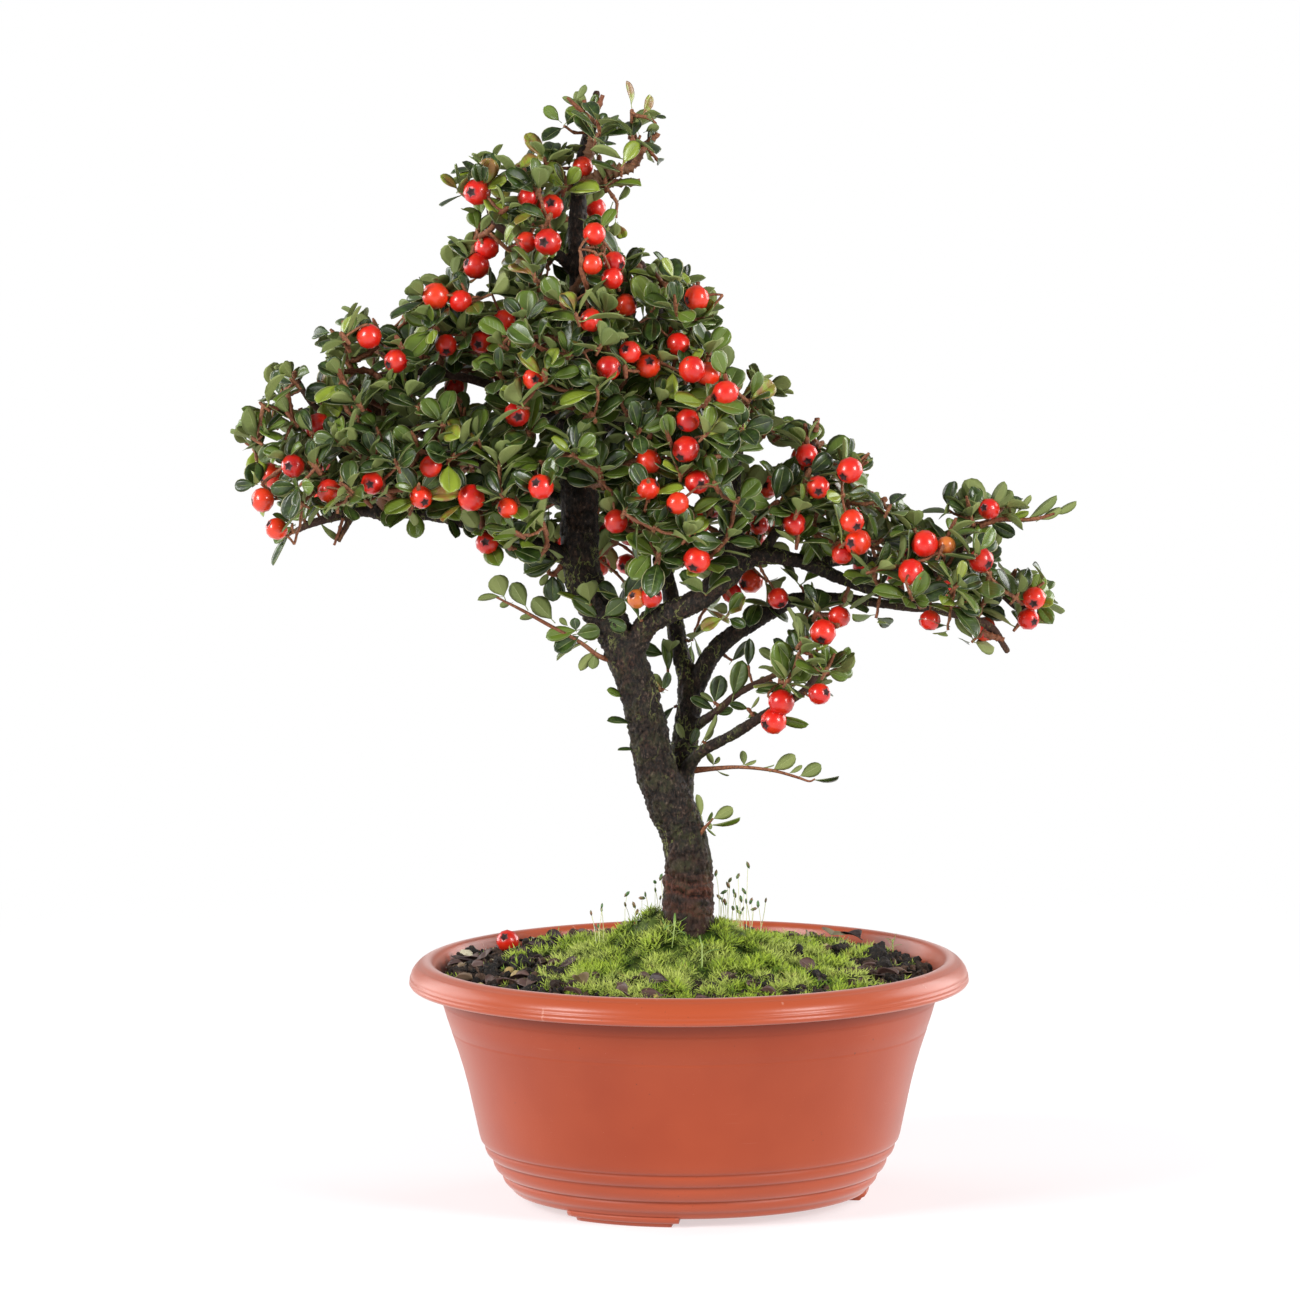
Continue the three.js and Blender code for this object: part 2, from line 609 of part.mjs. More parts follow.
// Bark chips and pebbles lie half sunk in the bare soil along the wall
function makeChips() {
  const chips = [];
  for (let i = 0; i < CHIPS.count; i += 1) {
    const turn = (i + 0.5 * draw(i, 50)) * 2 * Math.PI / CHIPS.count;
    const radius = THREE.MathUtils.lerp(CHIPS.nearest, CHIPS.furthest, draw(i, 51));
    const x = radius * Math.cos(turn);
    const y = radius * Math.sin(turn);
    const size = CHIPS.size * (0.7 + 0.6 * draw(i, 52));
    const centre = new THREE.Vector3(x, y, groundHeight(x, y) + 0.2);
    chips.push(knobSolid(centre, [size, 0.8 * size, 0.5 * size], Math.PI * draw(i, 53), 0.5 * swing(i, 54)));
  }
  return joined(chips);
}

// Twigs and leaves
function limbPoints() {
  const points = [];
  for (const { route } of LIMBS) {
    const rings = ringsOf(route);
    for (let ring = 0; ring + 1 < rings.length; ring += 1) {
      for (const share of [0, 0.25, 0.5, 0.75, 1]) {
        points.push({
          point: rings[ring].centre.clone().lerp(rings[ring + 1].centre, share),
          radius: THREE.MathUtils.lerp(rings[ring].radius, rings[ring + 1].radius, share),
        });
      }
    }
  }
  return points;
}

const LIMB_POINTS = limbPoints();

function nearestLimb(target) {
  return LIMB_POINTS.reduce((best, entry) => (
    entry.point.distanceTo(target) < best.point.distanceTo(target) ? entry : best
  ));
}

// Where a twig towards the target starts: as close to the bark as the clear space between pieces lets it
function seated(name, target, solidFrom) {
  const { point, radius } = nearestLimb(target);
  const out = target.clone().sub(point).normalize();
  for (let lift = radius / 2; lift < radius + 4; lift += 0.1) {
    const start = point.clone().addScaledVector(out, lift);
    if (isClear(solidFrom(start, GAP), name)) {
      place(name, solidFrom(start, 0));
      return;
    }
  }
  console.warn(`${name}: its twig crosses another piece`);
}

// Twigs fan out from the heart of a spray, away from the middle of the crown
function fanDirection(heart, index, turn, spread) {
  const out = heart.clone().sub(vector(CROWN_CENTRE)).normalize();
  const ring = sidewaysOf(out, turn + 2 * Math.PI * index / WHORL.twigs);
  return out.addScaledVector(ring, spread).add(new THREE.Vector3(0, 0, 0.25)).normalize();
}

// A leaf on a twig: it points along the twig, out to one side of it, and its upper face looks up
function leafOn(at, along, side, spread, keys) {
  const lean = new THREE.Vector3(swing(...keys, 1), swing(...keys, 2), swing(...keys, 3));
  const ahead = along.clone()
    .addScaledVector(side, spread)
    .addScaledVector(lean, 0.3)
    .add(new THREE.Vector3(0, 0, 0.15))
    .normalize();
  const facing = new THREE.Vector3(0, 0, 1)
    .addScaledVector(along, -0.5)
    .addScaledVector(lean, 0.45)
    .normalize();
  const length = LEAF.length * (0.85 + 0.3 * draw(...keys, 4));
  return { root: at.clone().addScaledVector(ahead, -0.4), ahead, facing, length };
}

// A leaf that would cross another piece is turned a little, and left out if that doesn't help
function placeLeaf(node, at, along, side, spread, keys) {
  for (let attempt = 0; attempt < 5; attempt += 1) {
    const leaf = leafOn(at, along, side, spread * (1 - 0.15 * attempt), [...keys, attempt]);
    if (isClear(leafSolid(leaf, GAP), node)) {
      place(node, leafSolid(leaf, 0));
      return true;
    }
  }
  return false;
}

function sidewaysOf(along, turn) {
  const level = new THREE.Vector3(-along.y, along.x, 0.001).normalize();
  return level.applyAxisAngle(along, turn);
}

function placeSprayStem(name) {
  const heart = vector(SPRAYS[name].at);
  seated(name, heart, (start, grow) => {
    const rise = 0.06 * start.distanceTo(heart);
    const route = [0, 0.5, 1].map((share) => {
      const point = start.clone().lerp(heart, share);
      return [point.x, point.y, point.z + 4 * rise * share * (1 - share), 1.5 - 0.5 * share];
    });
    return solidOf(limbGeometry(route, 3, grow, 0));
  });
}

function placeSprayCore(name, index) {
  const spray = SPRAYS[name];
  const heart = vector(spray.at);
  for (const share of [0.5, 0.42, 0.34, 0.26]) {
    const radii = spray.reach.map((reach) => reach * share);
    const grown = radii.map((radius) => radius + 2 * GAP);
    if (isClear(knobSolid(heart, grown, index, 0), name)) {
      place(name, knobSolid(heart, radii, index, 0));
      return;
    }
  }
  console.warn(`${name}: no room for its heart`);
}

function placeSprayTwig(name, index, twig) {
  const spray = SPRAYS[name];
  const heart = vector(spray.at);
  const inset = LEAF.length * 0.6;
  for (let attempt = 0; attempt < 14; attempt += 1) {
    const turn = 2.4 * index + 0.7 * attempt;
    const direction = fanDirection(heart, twig, turn, 0.95 - 0.05 * attempt);
    const tip = new THREE.Vector3(
      heart.x + direction.x * (spray.reach[0] - inset),
      heart.y + direction.y * (spray.reach[1] - inset),
      heart.z + direction.z * (spray.reach[2] - inset),
    );
    if (isClear(whorlSolid(heart, tip, [index, twig], GAP), name)) {
      place(name, whorlSolid(heart, tip, [index, twig], 0));
      return;
    }
  }
  console.warn(`${name}: no room for twig ${twig}`);
}

function placeShootStem(name) {
  const [first, ...rest] = SHOOTS[name].route;
  seated(name, vector(rest[0]), (start, grow) => (
    solidOf(limbGeometry([[...start.toArray(), first[3]], ...rest], 3, grow, 0))
  ));
}

function placeShootLeaves(name, index) {
  const curve = curveOf(SHOOTS[name].route);
  const { leaves } = SHOOTS[name];
  for (let leaf = 0; leaf < leaves; leaf += 1) {
    const share = 0.97 - 0.72 * leaf / leaves;
    const along = curve.getTangentAt(share);
    const side = sidewaysOf(along, leaf % 2 === 0 ? 0.5 : Math.PI - 0.5);
    placeLeaf(name, curve.getPointAt(share), along, side, leaf === 0 ? 0.2 : 1, [90 + index, leaf]);
  }
}

// Berries hang round the end of a short sprig: one at its end, the others on stalks from its side
function bunchName(index) {
  return `berry_sprig_${String(index + 1).padStart(2, '0')}`;
}

function placeSprig(bunch, index) {
  const middle = vector(bunch.at);
  seated(bunchName(index), middle, (start, grow) => stalkSolid(start, middle, BERRY.sprigRadius, grow));
}

function placeBerries(bunch, index) {
  const name = bunchName(index);
  const middle = vector(bunch.at);
  const along = middle.clone().sub(nearestLimb(middle).point).normalize();
  for (let berry = 0; berry < bunch.count; berry += 1) {
    const radius = BERRY.radius * (0.92 + 0.16 * draw(index, berry, 61));
    const foot = middle.clone().addScaledVector(along, berry === 0 ? 0 : -BERRY.stalkSpacing - berry);
    let found = false;
    for (let attempt = 0; attempt < 14 && !found; attempt += 1) {
      const turn = 2 * Math.PI * (berry / bunch.count + draw(index, 60)) + 0.45 * attempt;
      const out = along.clone()
        .addScaledVector(sidewaysOf(along, turn), berry === 0 ? 0.3 : 2)
        .add(new THREE.Vector3(0, 0, -0.3))
        .normalize();
      const centre = foot.clone().addScaledVector(out, (berry === 0 ? -1 : BERRY.stalkLength) + radius);
      const grown = radius + GAP * 1.5;
      const ball = knobSolid(centre, [grown, grown, grown], turn, 0);
      const touching = solidsOf(name).slice(1).some((other) => !ball.intersect(other).isEmpty());
      if (isClear(ball, name) && !touching) {
        place(name, knobSolid(centre, [radius, radius, radius * 0.96], turn, 0));
        if (berry > 0) {
          place(name, stalkSolid(foot, centre, BERRY.stalkRadius, 0));
        }
        found = true;
      }
    }
    if (!found) {
      console.warn(`${name}: no room for berry ${berry}`);
    }
  }
}

// Putting it together
const model = new THREE.Group();

function addPiece(name, solid, colour) {
  const material = new THREE.MeshStandardMaterial({ ...COLOURS[colour], metalness: 0 });
  const mesh = new THREE.Mesh(geometryOf(largestBody(solid)), material);
  mesh.name = name;
  model.add(mesh);
}

const wood = joined(LIMBS.map(limbSolid));
const stumpHole = solidOf(limbGeometry(LIMBS[0].route, LIMBS[0].sides, GAP, 0.06));
const bowl = makeBowl();
const moss = makeMoss().subtract(stumpHole);
const soil = groundSolid(0).add(makeChips()).subtract(stumpHole);

// The fallen berry is let down until it all but touches the soil
const fallenPlace = new THREE.Vector3(FALLEN_BERRY.at[0], FALLEN_BERRY.at[1], 100);
const berryOf = (radius) => knobSolid(fallenPlace, [radius, radius, radius], 0, 0);
while (berryOf(FALLEN_BERRY.radius + GAP).intersect(soil).isEmpty()) {
  fallenPlace.z -= 0.1;
}
fallenPlace.z += 0.1;
const fallenBerry = berryOf(FALLEN_BERRY.radius);

const sprayNames = Object.keys(SPRAYS);
const shootNames = Object.keys(SHOOTS);
const bunchNames = BUNCHES.map((bunch, index) => bunchName(index));

place('trunk_and_branches', wood);
sprayNames.forEach(placeSprayStem);
shootNames.forEach(placeShootStem);
BUNCHES.forEach(placeSprig);
BUNCHES.forEach(placeBerries);
sprayNames.forEach(placeSprayCore);
shootNames.forEach(placeShootLeaves);
for (let twig = 0; twig < WHORL.twigs; twig += 1) {
  sprayNames.forEach((name, index) => placeSprayTwig(name, index, twig));
}

addPiece('bowl', bowl, 'bowl');
addPiece('soil', soil, 'soil');
addPiece('moss_mound', moss, 'moss');
addPiece('fallen_berry', fallenBerry, 'berry');
addPiece('trunk_and_branches', wood, 'bark');
for (const name of [...sprayNames, ...shootNames]) {
  addPiece(name, joined(solidsOf(name)), 'leaf');
}
for (const name of bunchNames) {
  addPiece(name, joined(solidsOf(name)), 'berry');
}

// The origin goes under the middle of the bounding box
const extent = new THREE.Box3().setFromObject(model);
model.position.set(-(extent.min.x + extent.max.x) / 2, -(extent.min.y + extent.max.y) / 2, 0);

export default model;
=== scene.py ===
import json
import math

import bmesh
import bpy
import numpy as np
from mathutils import Matrix, Vector, kdtree, noise

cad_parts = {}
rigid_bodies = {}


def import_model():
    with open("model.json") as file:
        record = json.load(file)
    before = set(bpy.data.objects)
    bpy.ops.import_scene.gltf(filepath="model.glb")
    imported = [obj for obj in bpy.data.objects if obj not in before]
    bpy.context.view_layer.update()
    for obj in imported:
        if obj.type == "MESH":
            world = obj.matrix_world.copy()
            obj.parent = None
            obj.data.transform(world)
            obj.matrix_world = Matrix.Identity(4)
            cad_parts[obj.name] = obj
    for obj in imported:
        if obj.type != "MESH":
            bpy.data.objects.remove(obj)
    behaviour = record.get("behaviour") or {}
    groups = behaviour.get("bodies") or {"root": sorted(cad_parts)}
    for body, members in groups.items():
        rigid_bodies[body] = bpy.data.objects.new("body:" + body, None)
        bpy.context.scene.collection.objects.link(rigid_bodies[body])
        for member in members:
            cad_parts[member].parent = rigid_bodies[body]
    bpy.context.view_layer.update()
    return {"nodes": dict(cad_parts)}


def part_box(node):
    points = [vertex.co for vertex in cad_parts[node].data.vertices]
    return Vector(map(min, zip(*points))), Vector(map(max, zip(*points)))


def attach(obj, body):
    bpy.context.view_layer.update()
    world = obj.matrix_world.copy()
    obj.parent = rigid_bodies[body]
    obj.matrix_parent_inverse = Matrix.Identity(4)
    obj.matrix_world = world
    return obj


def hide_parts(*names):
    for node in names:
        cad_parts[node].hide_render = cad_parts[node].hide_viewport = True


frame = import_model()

# Sizes and places, in millimetres round the bowl's axis. The front of the tree faces -Y.
MM = 0.001
bowl_low, bowl_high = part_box("bowl")
BOWL_X = (bowl_low.x + bowl_high.x) / 2 / MM
BOWL_Y = (bowl_low.y + bowl_high.y) / 2 / MM

CAMERA = {"aim": (-12.5, 0, 187.2), "distance": 2569, "pitch": 6.3, "roll": 0.37, "focal": 7600,
          "frame": 1300}
PIXELS_PER_MM = 2.958

# The limbs, each as [x, y, z, radius] points, the main trunk first
LIMBS = [
    [(0, 0, 64, 7), (0, 0, 79, 10.5), (0, 0, 93, 8.6), (0, 0, 109, 7.9), (-1, 0, 123, 7.5),
     (-6, 0, 135, 7.6), (-11, 0, 148, 6.6), (-14, -2, 164, 6.2), (-17, -3, 175, 6.3), (-21, -4, 186, 6.4),
     (-26, -4, 197, 5.9), (-33, -3, 207, 5.8), (-36, -2, 219, 6.1), (-36, 0, 233, 6.3), (-36, 2, 247, 6),
     (-35, 4, 260, 5.2), (-35, 4, 273, 4.3), (-35, 3, 292, 3.5), (-36, 2, 311, 2.9), (-36, 1, 330, 2.9),
     (-35, 1, 347, 2.6), (-32, 0, 362, 1.9), (-29, 0, 376, 1.2)],
    [(-4, 3, 132, 5), (-2, 8, 147, 4.4), (0, 11, 160, 4.2), (1, 12, 174, 3.8), (-2, 16, 183, 3),
     (-4, 20, 194, 3), (-6, 26, 207, 2.5), (-9, 32, 221, 2.2), (-12, 36, 235, 1.9), (-15, 40, 250, 1.4)],
    [(0, 12, 168, 3.4), (9, 10, 185, 2.9), (18, 8, 193, 2.9), (29, 6, 200, 2.7), (38, 4, 204, 2.2),
     (53, 2, 204, 1.9), (77, 0, 201, 1.5), (88, 2, 201, 1.2)],
    [(-20, -4, 184, 4.4), (-14, -8, 196, 3.9), (-6, -10, 201, 3.7), (3, -12, 205, 3.7), (10, -12, 211, 3.7),
     (16, -10, 217, 4.1), (15, -7, 232, 3.8), (16, -4, 250, 2.9), (21, 0, 272, 1.7), (25, 2, 281, 1.2)],
    [(14, -10, 215, 3.4), (24, -12, 220, 2.9), (35, -13, 219, 2.5), (44, -13, 216, 2.2), (55, -12, 211, 2),
     (80, -12, 203, 1.7), (100, -13, 197, 1.4), (106, -13, 191, 1.2)],
    [(42, -12, 217, 2), (55, -4, 218, 1.9), (69, 4, 215, 1.7), (83, 8, 211, 1.5), (95, 10, 210, 1.4),
     (106, 8, 205, 1.2), (113, 4, 200, 1.2), (119, 0, 204, 1)],
    [(83, 8, 211, 1.4), (92, 4, 219, 1.2), (94, 0, 227, 1.1), (101, -2, 229, 1)],
    [(100, -12, 197, 1.3), (104, -13, 193, 1.2), (108, -14, 187, 1.1)],
    [(-34, 0, 246, 2.4), (-25, -10, 242, 1.9), (-16, -15, 236, 1.7), (-6, -17, 228, 1.5), (9, -12, 216, 1.3)],
    [(-35, -2, 216, 3.4), (-46, -6, 222, 2.7), (-56, -10, 226, 2.4), (-67, -12, 230, 2.2), (-83, -12, 234, 2),
     (-99, -12, 236, 2), (-103, -12, 236, 3), (-107, -12, 236, 1.9), (-115, -12, 235, 1.7),
     (-126, -12, 232, 1.4), (-132, -12, 229, 1)],
    [(-37, 0, 236, 2.4), (-53, 8, 242, 1.7), (-75, 12, 252, 1.4), (-103, 8, 268, 1.1), (-115, 6, 273, 0.9)],
    [(-35, 4, 258, 2.6), (-47, 10, 266, 1.9), (-61, 14, 274, 1.7), (-76, 16, 279, 1.5), (-91, 14, 281, 1.4),
     (-104, 12, 280, 1.1)],
    [(-34, 2, 252, 4.2), (-25, 2, 262, 3.4), (-17, 2, 271, 3), (-12, 2, 282, 2.7), (-9, 0, 295, 2.2),
     (-10, -2, 307, 1.7), (-15, -3, 319, 1.2)],
    [(-36, 2, 314, 2.2), (-45, -4, 323, 1.7), (-62, -10, 331, 1.4), (-66, -10, 340, 1.2)],
    [(-35, 1, 343, 2), (-28, -3, 347, 1.7), (-20, -5, 350, 1.5), (-12, -6, 359, 1.2)],
    [(-2, 6, 143, 2.8), (4, 0, 152, 1.9), (15, -8, 159, 1.9), (25, -14, 166, 1.7), (33, -18, 171, 1.5),
     (40, -20, 176, 1.4), (44, -20, 183, 1.2)],
    [(0, 10, 158, 2.2), (10, 2, 166, 1.4), (18, -2, 173, 1.3), (33, -8, 181, 1)],
    [(17, -3, 254, 2.4), (17, -10, 259, 1.6), (19, -14, 268, 1.4)],
    [(-11, 1, 288, 2.4), (-4, -3, 292, 1.5), (1, -6, 304, 1.3)],
    [(-100, 9, 266, 1.1), (-122, 4, 268, 1.3), (-132, 2, 281, 1.1)],
    [(-112, -12, 235, 1.3), (-117, -14, 226, 0.9)],
    [(24, -12, 219, 2), (38, -6, 240, 1.4), (43, -4, 258, 1.2)],
]

# The sprays of leaves, by part of the crown: heart, and reach along X, Y and Z
SPRAYS = {
    "top": {
        "apex_spray": ((-19, -8, 357), (15, 18, 14)),
        "apex_left_spray": ((-58, -5, 341), (20, 20, 15)),
        "upper_front_spray": ((-38, -21, 318), (24, 17, 19)),
        "upper_back_spray": ((-33, 22, 316), (24, 17, 20)),
        "top_right_front_spray": ((-7, -20, 300), (19, 17, 19)),
        "top_right_back_spray": ((-4, 20, 298), (19, 17, 19)),
        "left_crest_spray": ((-78, -2, 302), (23, 22, 17)),
    },
    "left": {
        "left_top_front_spray": ((-107, -17, 284), (24, 17, 18)),
        "left_top_back_spray": ((-102, 27, 281), (25, 18, 18)),
        "left_tip_spray": ((-136, -6, 266), (21, 20, 15)),
        "left_low_front_spray": ((-108, -31, 251), (25, 18, 17)),
        "left_low_back_spray": ((-108, 24, 249), (25, 18, 17)),
        "left_inner_front_spray": ((-76, -31, 255), (24, 18, 20)),
        "left_inner_back_spray": ((-74, 36, 257), (24, 18, 20)),
        "low_left_spray": ((-56, -22, 219), (15, 14, 13)),
    },
    "centre": {
        "centre_front_spray": ((-38, -36, 286), (26, 20, 21)),
        "centre_low_front_spray": ((-44, -34, 245), (23, 17, 20)),
        "centre_back_spray": ((-38, 42, 280), (28, 20, 26)),
        "centre_low_back_spray": ((-36, 38, 233), (24, 18, 18)),
        "heart_front_spray": ((0, -34, 270), (22, 18, 20)),
        "heart_back_spray": ((4, 34, 268), (24, 20, 24)),
        "heart_low_front_spray": ((-2, -38, 236), (20, 15, 17)),
        "heart_low_back_spray": ((10, 42, 228), (24, 17, 18)),
    },
    "right": {
        "right_crest_spray": ((35, 3, 266), (19, 20, 17)),
        "shoulder_front_spray": ((52, -24, 239), (22, 16, 18)),
        "shoulder_back_spray": ((52, 21, 240), (23, 18, 18)),
        "right_front_spray": ((80, -27, 216), (21, 13, 14)),
        "right_back_spray": ((78, 22, 222), (23, 15, 14)),
        "right_end_spray": ((108, -5, 208), (18, 17, 14)),
        "right_top_spray": ((99, 5, 235), (13, 12, 9)),
        "low_right_spray": ((42, -22, 188), (17, 16, 17)),
    },
}

# Slender shoots: part of the crown, and the line as [x, y, z, radius]
SHOOTS = {
    "low_left_shoot": ("left", [(-24, -4, 184, 1.3), (-29.6, -7, 186, 0.9), (-36, -9, 191, 0.75),
                                (-46.5, -10, 197, 0.7), (-55.3, -10, 202, 0.6), (-64, -10, 206.5, 0.4)]),
    "low_right_shoot": ("right", [(0, 8, 145, 1.4), (8, 5, 146, 0.9), (17.6, 1, 147, 0.65),
                                  (28.6, -3, 146.3, 0.6), (36.9, -5, 144.2, 0.5), (41, -5, 142.8, 0.4),
                                  (43, -5, 143.6, 0.3)]),
    "trunk_sprout": ("right", [(4, -4, 125, 1), (6, -5, 127.5, 0.6), (8.5, -6, 130.4, 0.35)]),
    "right_tip_shoot": ("right", [(99, -2, 229, 1.1), (106, -3, 231, 0.9), (112, -3, 230.8, 0.8),
                                  (118, -4, 231.3, 0.7), (124, -4, 233, 0.4)]),
    "apex_shoot": ("top", [(-31, 0, 366, 1.2), (-36, -4, 371, 0.8), (-39, -5, 374, 0.5)]),
}

# Leaves that stand clear, as they are seen: pixels of the foot and of the tip, width, and how far the leaf's
# face is turned from the camera, in degrees
SHOOT_LEAVES = {
    "low_left_shoot": [
        (500, 597, 478, 600, 0.6, 150), (504, 596, 495, 576, 1.3, 180), (525.5, 606, 511, 584, 0.95, 165),
        (551.6, 619, 532.5, 599, 1, 170), (511, 603, 500, 607, 0.9, 150), (535, 617, 520, 619.5, 0.9, 140),
        (567.6, 626, 559, 619, 0.8, 160), (576, 630, 574.5, 618, 1.4, 0),
        (576, 630.5, 546.5, 638, 0.75, 20), (578.5, 636.5, 555.5, 651.5, 0.95, 10),
        (577, 634, 600, 629, 1.1, 10), (582, 644, 557, 660, 1, 80), (594, 652, 581, 671, 0.85, 150),
        (595.5, 653, 592.5, 669, 1.1, 170),
    ],
    "low_right_shoot": [
        (713.5, 765, 706.5, 753.5, 0.7, 150), (713.7, 764.5, 719.5, 757, 0.8, 160),
        (744, 765, 742, 751, 0.75, 160), (744, 764.5, 756, 759.5, 0.8, 130), (761, 768, 774, 764, 0.5, 100),
        (774, 769.5, 794.5, 755, 0.9, 165), (789.5, 773, 801.5, 764.5, 0.6, 140),
        (800.5, 776, 820.5, 764.5, 0.85, 165), (815.5, 780, 838.5, 775, 1, 78),
        (717.5, 771, 729.5, 774.5, 0.8, 85), (747, 765.5, 758.5, 767, 0.7, 95),
    ],
    "trunk_sprout": [
        (701, 816, 695.6, 795, 0.6, 140), (714, 818.5, 732, 807, 0.85, 165),
        (713, 825, 739.5, 816, 0.9, 80), (706, 827, 717, 834, 0.5, 60), (706.5, 822, 712, 812, 0.6, 30),
        (709, 821, 711, 829.5, 0.7, 170),
    ],
    "right_tip_shoot": [
        (991, 522.5, 1015, 534, 0.8, 20), (1012, 519, 1008.5, 497.5, 0.65, 150),
        (1017, 512, 1029, 494, 0.4, 150), (1008.5, 518, 1028, 509.5, 0.7, 30),
        (1029, 518, 1055.5, 495, 0.55, 150), (1040, 519.5, 1060, 507, 0.7, 150),
        (1053, 513.5, 1076, 501.5, 0.6, 150), (985, 512, 962, 483, 0.95, 150),
        (984, 514, 971, 487, 0.7, 10), (988, 510, 1002.5, 481, 0.7, 140), (994, 508, 1012, 491, 0.8, 170),
    ],
    "apex_shoot": [
        (590, 119, 566, 110, 0.7, 20), (585, 112, 575, 92, 0.8, 160), (580, 108, 562, 98, 0.6, 150),
        (590, 116, 596, 94, 0.7, 10), (576, 100, 584, 84, 0.6, 150),
    ],
}

# Single leaves on the old wood, written in the same way
OLD_WOOD_LEAVES = [
    (597.6, 617.5, 571, 599, 0.75, 15), (605, 615.5, 624, 600, 1.1, 15), (605, 619, 626, 629, 0.9, 10),
    (597, 622, 603.5, 614, 0.8, 20), (553, 575, 553, 601, 1.15, 10), (557, 577, 566, 592, 0.8, 30),
    (549, 573, 541, 586, 0.7, 160), (549, 569, 548, 549, 1.2, 10), (539, 569, 527.5, 555, 1, 10),
    (733.6, 694.5, 742, 660.6, 0.8, 10), (748, 665.5, 749.4, 639, 0.65, 10),
    (732.4, 660.6, 747, 640, 0.6, 30), (714.8, 701.8, 720.3, 675.2, 0.9, 10),
    (714.8, 703, 700, 694, 0.5, 165), (713.6, 709.7, 690, 699, 0.6, 25), (713, 711.5, 733, 709, 0.7, 20),
    (748, 709, 729, 705.5, 0.7, 20), (750.6, 709, 758.5, 696.4, 0.45, 150),
    (702.5, 741, 714.8, 714, 0.45, 140), (704.5, 742, 712.4, 727, 0.6, 160), (748, 717.6, 757, 713, 1, 10),
    (773.6, 715, 808.8, 721.8, 0.6, 50), (774.8, 684.8, 759, 680, 0.6, 150),
    (777, 672, 758.5, 668, 0.5, 130), (779.7, 663, 758, 651.5, 0.6, 150), (793, 684.8, 774.8, 697, 1, 5),
    (795, 684.8, 806, 664, 1.3, 0), (821, 643, 838, 664, 0.85, 10), (840.3, 663, 848.8, 647.3, 0.9, 20),
    (828.2, 672, 847.6, 677.6, 0.85, 10), (790, 655, 772, 640, 0.7, 20), (800, 652, 815, 640, 0.8, 150),
    (622, 697, 606, 692, 1.1, 45), (630, 724, 607, 722, 0.8, 60), (635, 750, 618, 753, 0.9, 62),
    (690, 745, 697, 728, 0.8, 20), (684, 742, 676, 724, 0.6, 150), (662, 690, 650, 676, 0.9, 150),
    (663, 690, 668, 672, 0.8, 20), (316, 504, 291, 518, 1, 20), (292, 527, 275, 543, 0.9, 30),
    (288, 536, 278, 567, 0.7, 60), (292, 524, 272, 516, 0.8, 60), (321, 524, 342, 535, 0.6, 120),
    (304, 518, 312, 500, 0.9, 25), (330, 520, 322, 504, 1, 10), (345, 515, 352, 498, 0.9, 30),
    (668, 672, 662.4, 639, 0.5, 30), (663, 689, 638, 682, 0.75, 15), (674, 707, 661, 725, 0.55, 40),
    (667, 742, 646, 731, 0.75, 20), (676, 744, 700, 746, 0.5, 60),
]

# Small tufts of leaves: pixel of the frame, depth (None for the front of the crown), leaves and size
TUFTS = [
    (564, 126, -6, 4, 0.8), (646, 117, -8, 3, 0.6), (656, 124, -8, 3, 0.6), (640, 136, -8, 3, 0.6),
    (651, 153, -8, 4, 0.65), (660, 163, -9, 3, 0.6), (617, 203, -10, 3, 0.7), (616, 218, -10, 3, 0.7),
    (492, 294, None, 5, 0.9), (300, 508, -12, 4, 0.8), (948, 510, None, 5, 0.9), (624, 582, None, 4, 0.8),
    (768, 582, None, 5, 0.9), (1044, 582, None, 4, 0.8), (706, 608, None, 5, 0.9), (726, 617, None, 4, 0.8),
    (876, 618, None, 4, 0.8), (948, 630, None, 4, 0.8), (972, 642, None, 4, 0.8), (692, 641, None, 4, 0.8),
    (285, 440, None, 4, 0.9), (300, 486, None, 4, 0.9), (262, 484, None, 3, 0.8), (262, 436, None, 3, 0.8),
    (575, 440, None, 4, 0.9),
]
BERRY_SPRIGS = [name for name in frame["nodes"] if name.startswith("berry_sprig_")]

# The outline of the crown seen from the front, [x, z] in the plane through the bowl's axis
CROWN_OUTLINE = [
    (-31, 381), (-21, 379), (-9, 369), (-9, 354), (-16, 347), (-21, 337), (-22, 324), (-15, 322), (6, 315),
    (13, 299), (13, 283), (24, 286), (36, 276), (43, 264), (55, 257), (65, 248), (73, 237), (85, 231),
    (92, 242), (107, 239), (131, 236), (124, 230), (107, 227), (106, 217), (121, 211), (126, 199),
    (119, 193), (105, 187), (96, 189), (83, 195), (62, 199), (63, 196), (54, 190), (55, 178), (48, 171),
    (38, 163), (27, 160), (17, 154), (4, 158), (-14, 196), (-30, 192), (-50, 213), (-71, 221), (-91, 230),
    (-128, 231), (-135, 229), (-144, 226), (-148, 240), (-151, 254), (-152, 262), (-146, 268), (-156, 272),
    (-142, 281), (-134, 286), (-126, 285), (-125, 293), (-116, 303), (-102, 305), (-94, 305), (-92, 311),
    (-84, 320), (-75, 322), (-81, 328), (-85, 341), (-80, 351), (-61, 357), (-44, 365), (-44, 377),
]

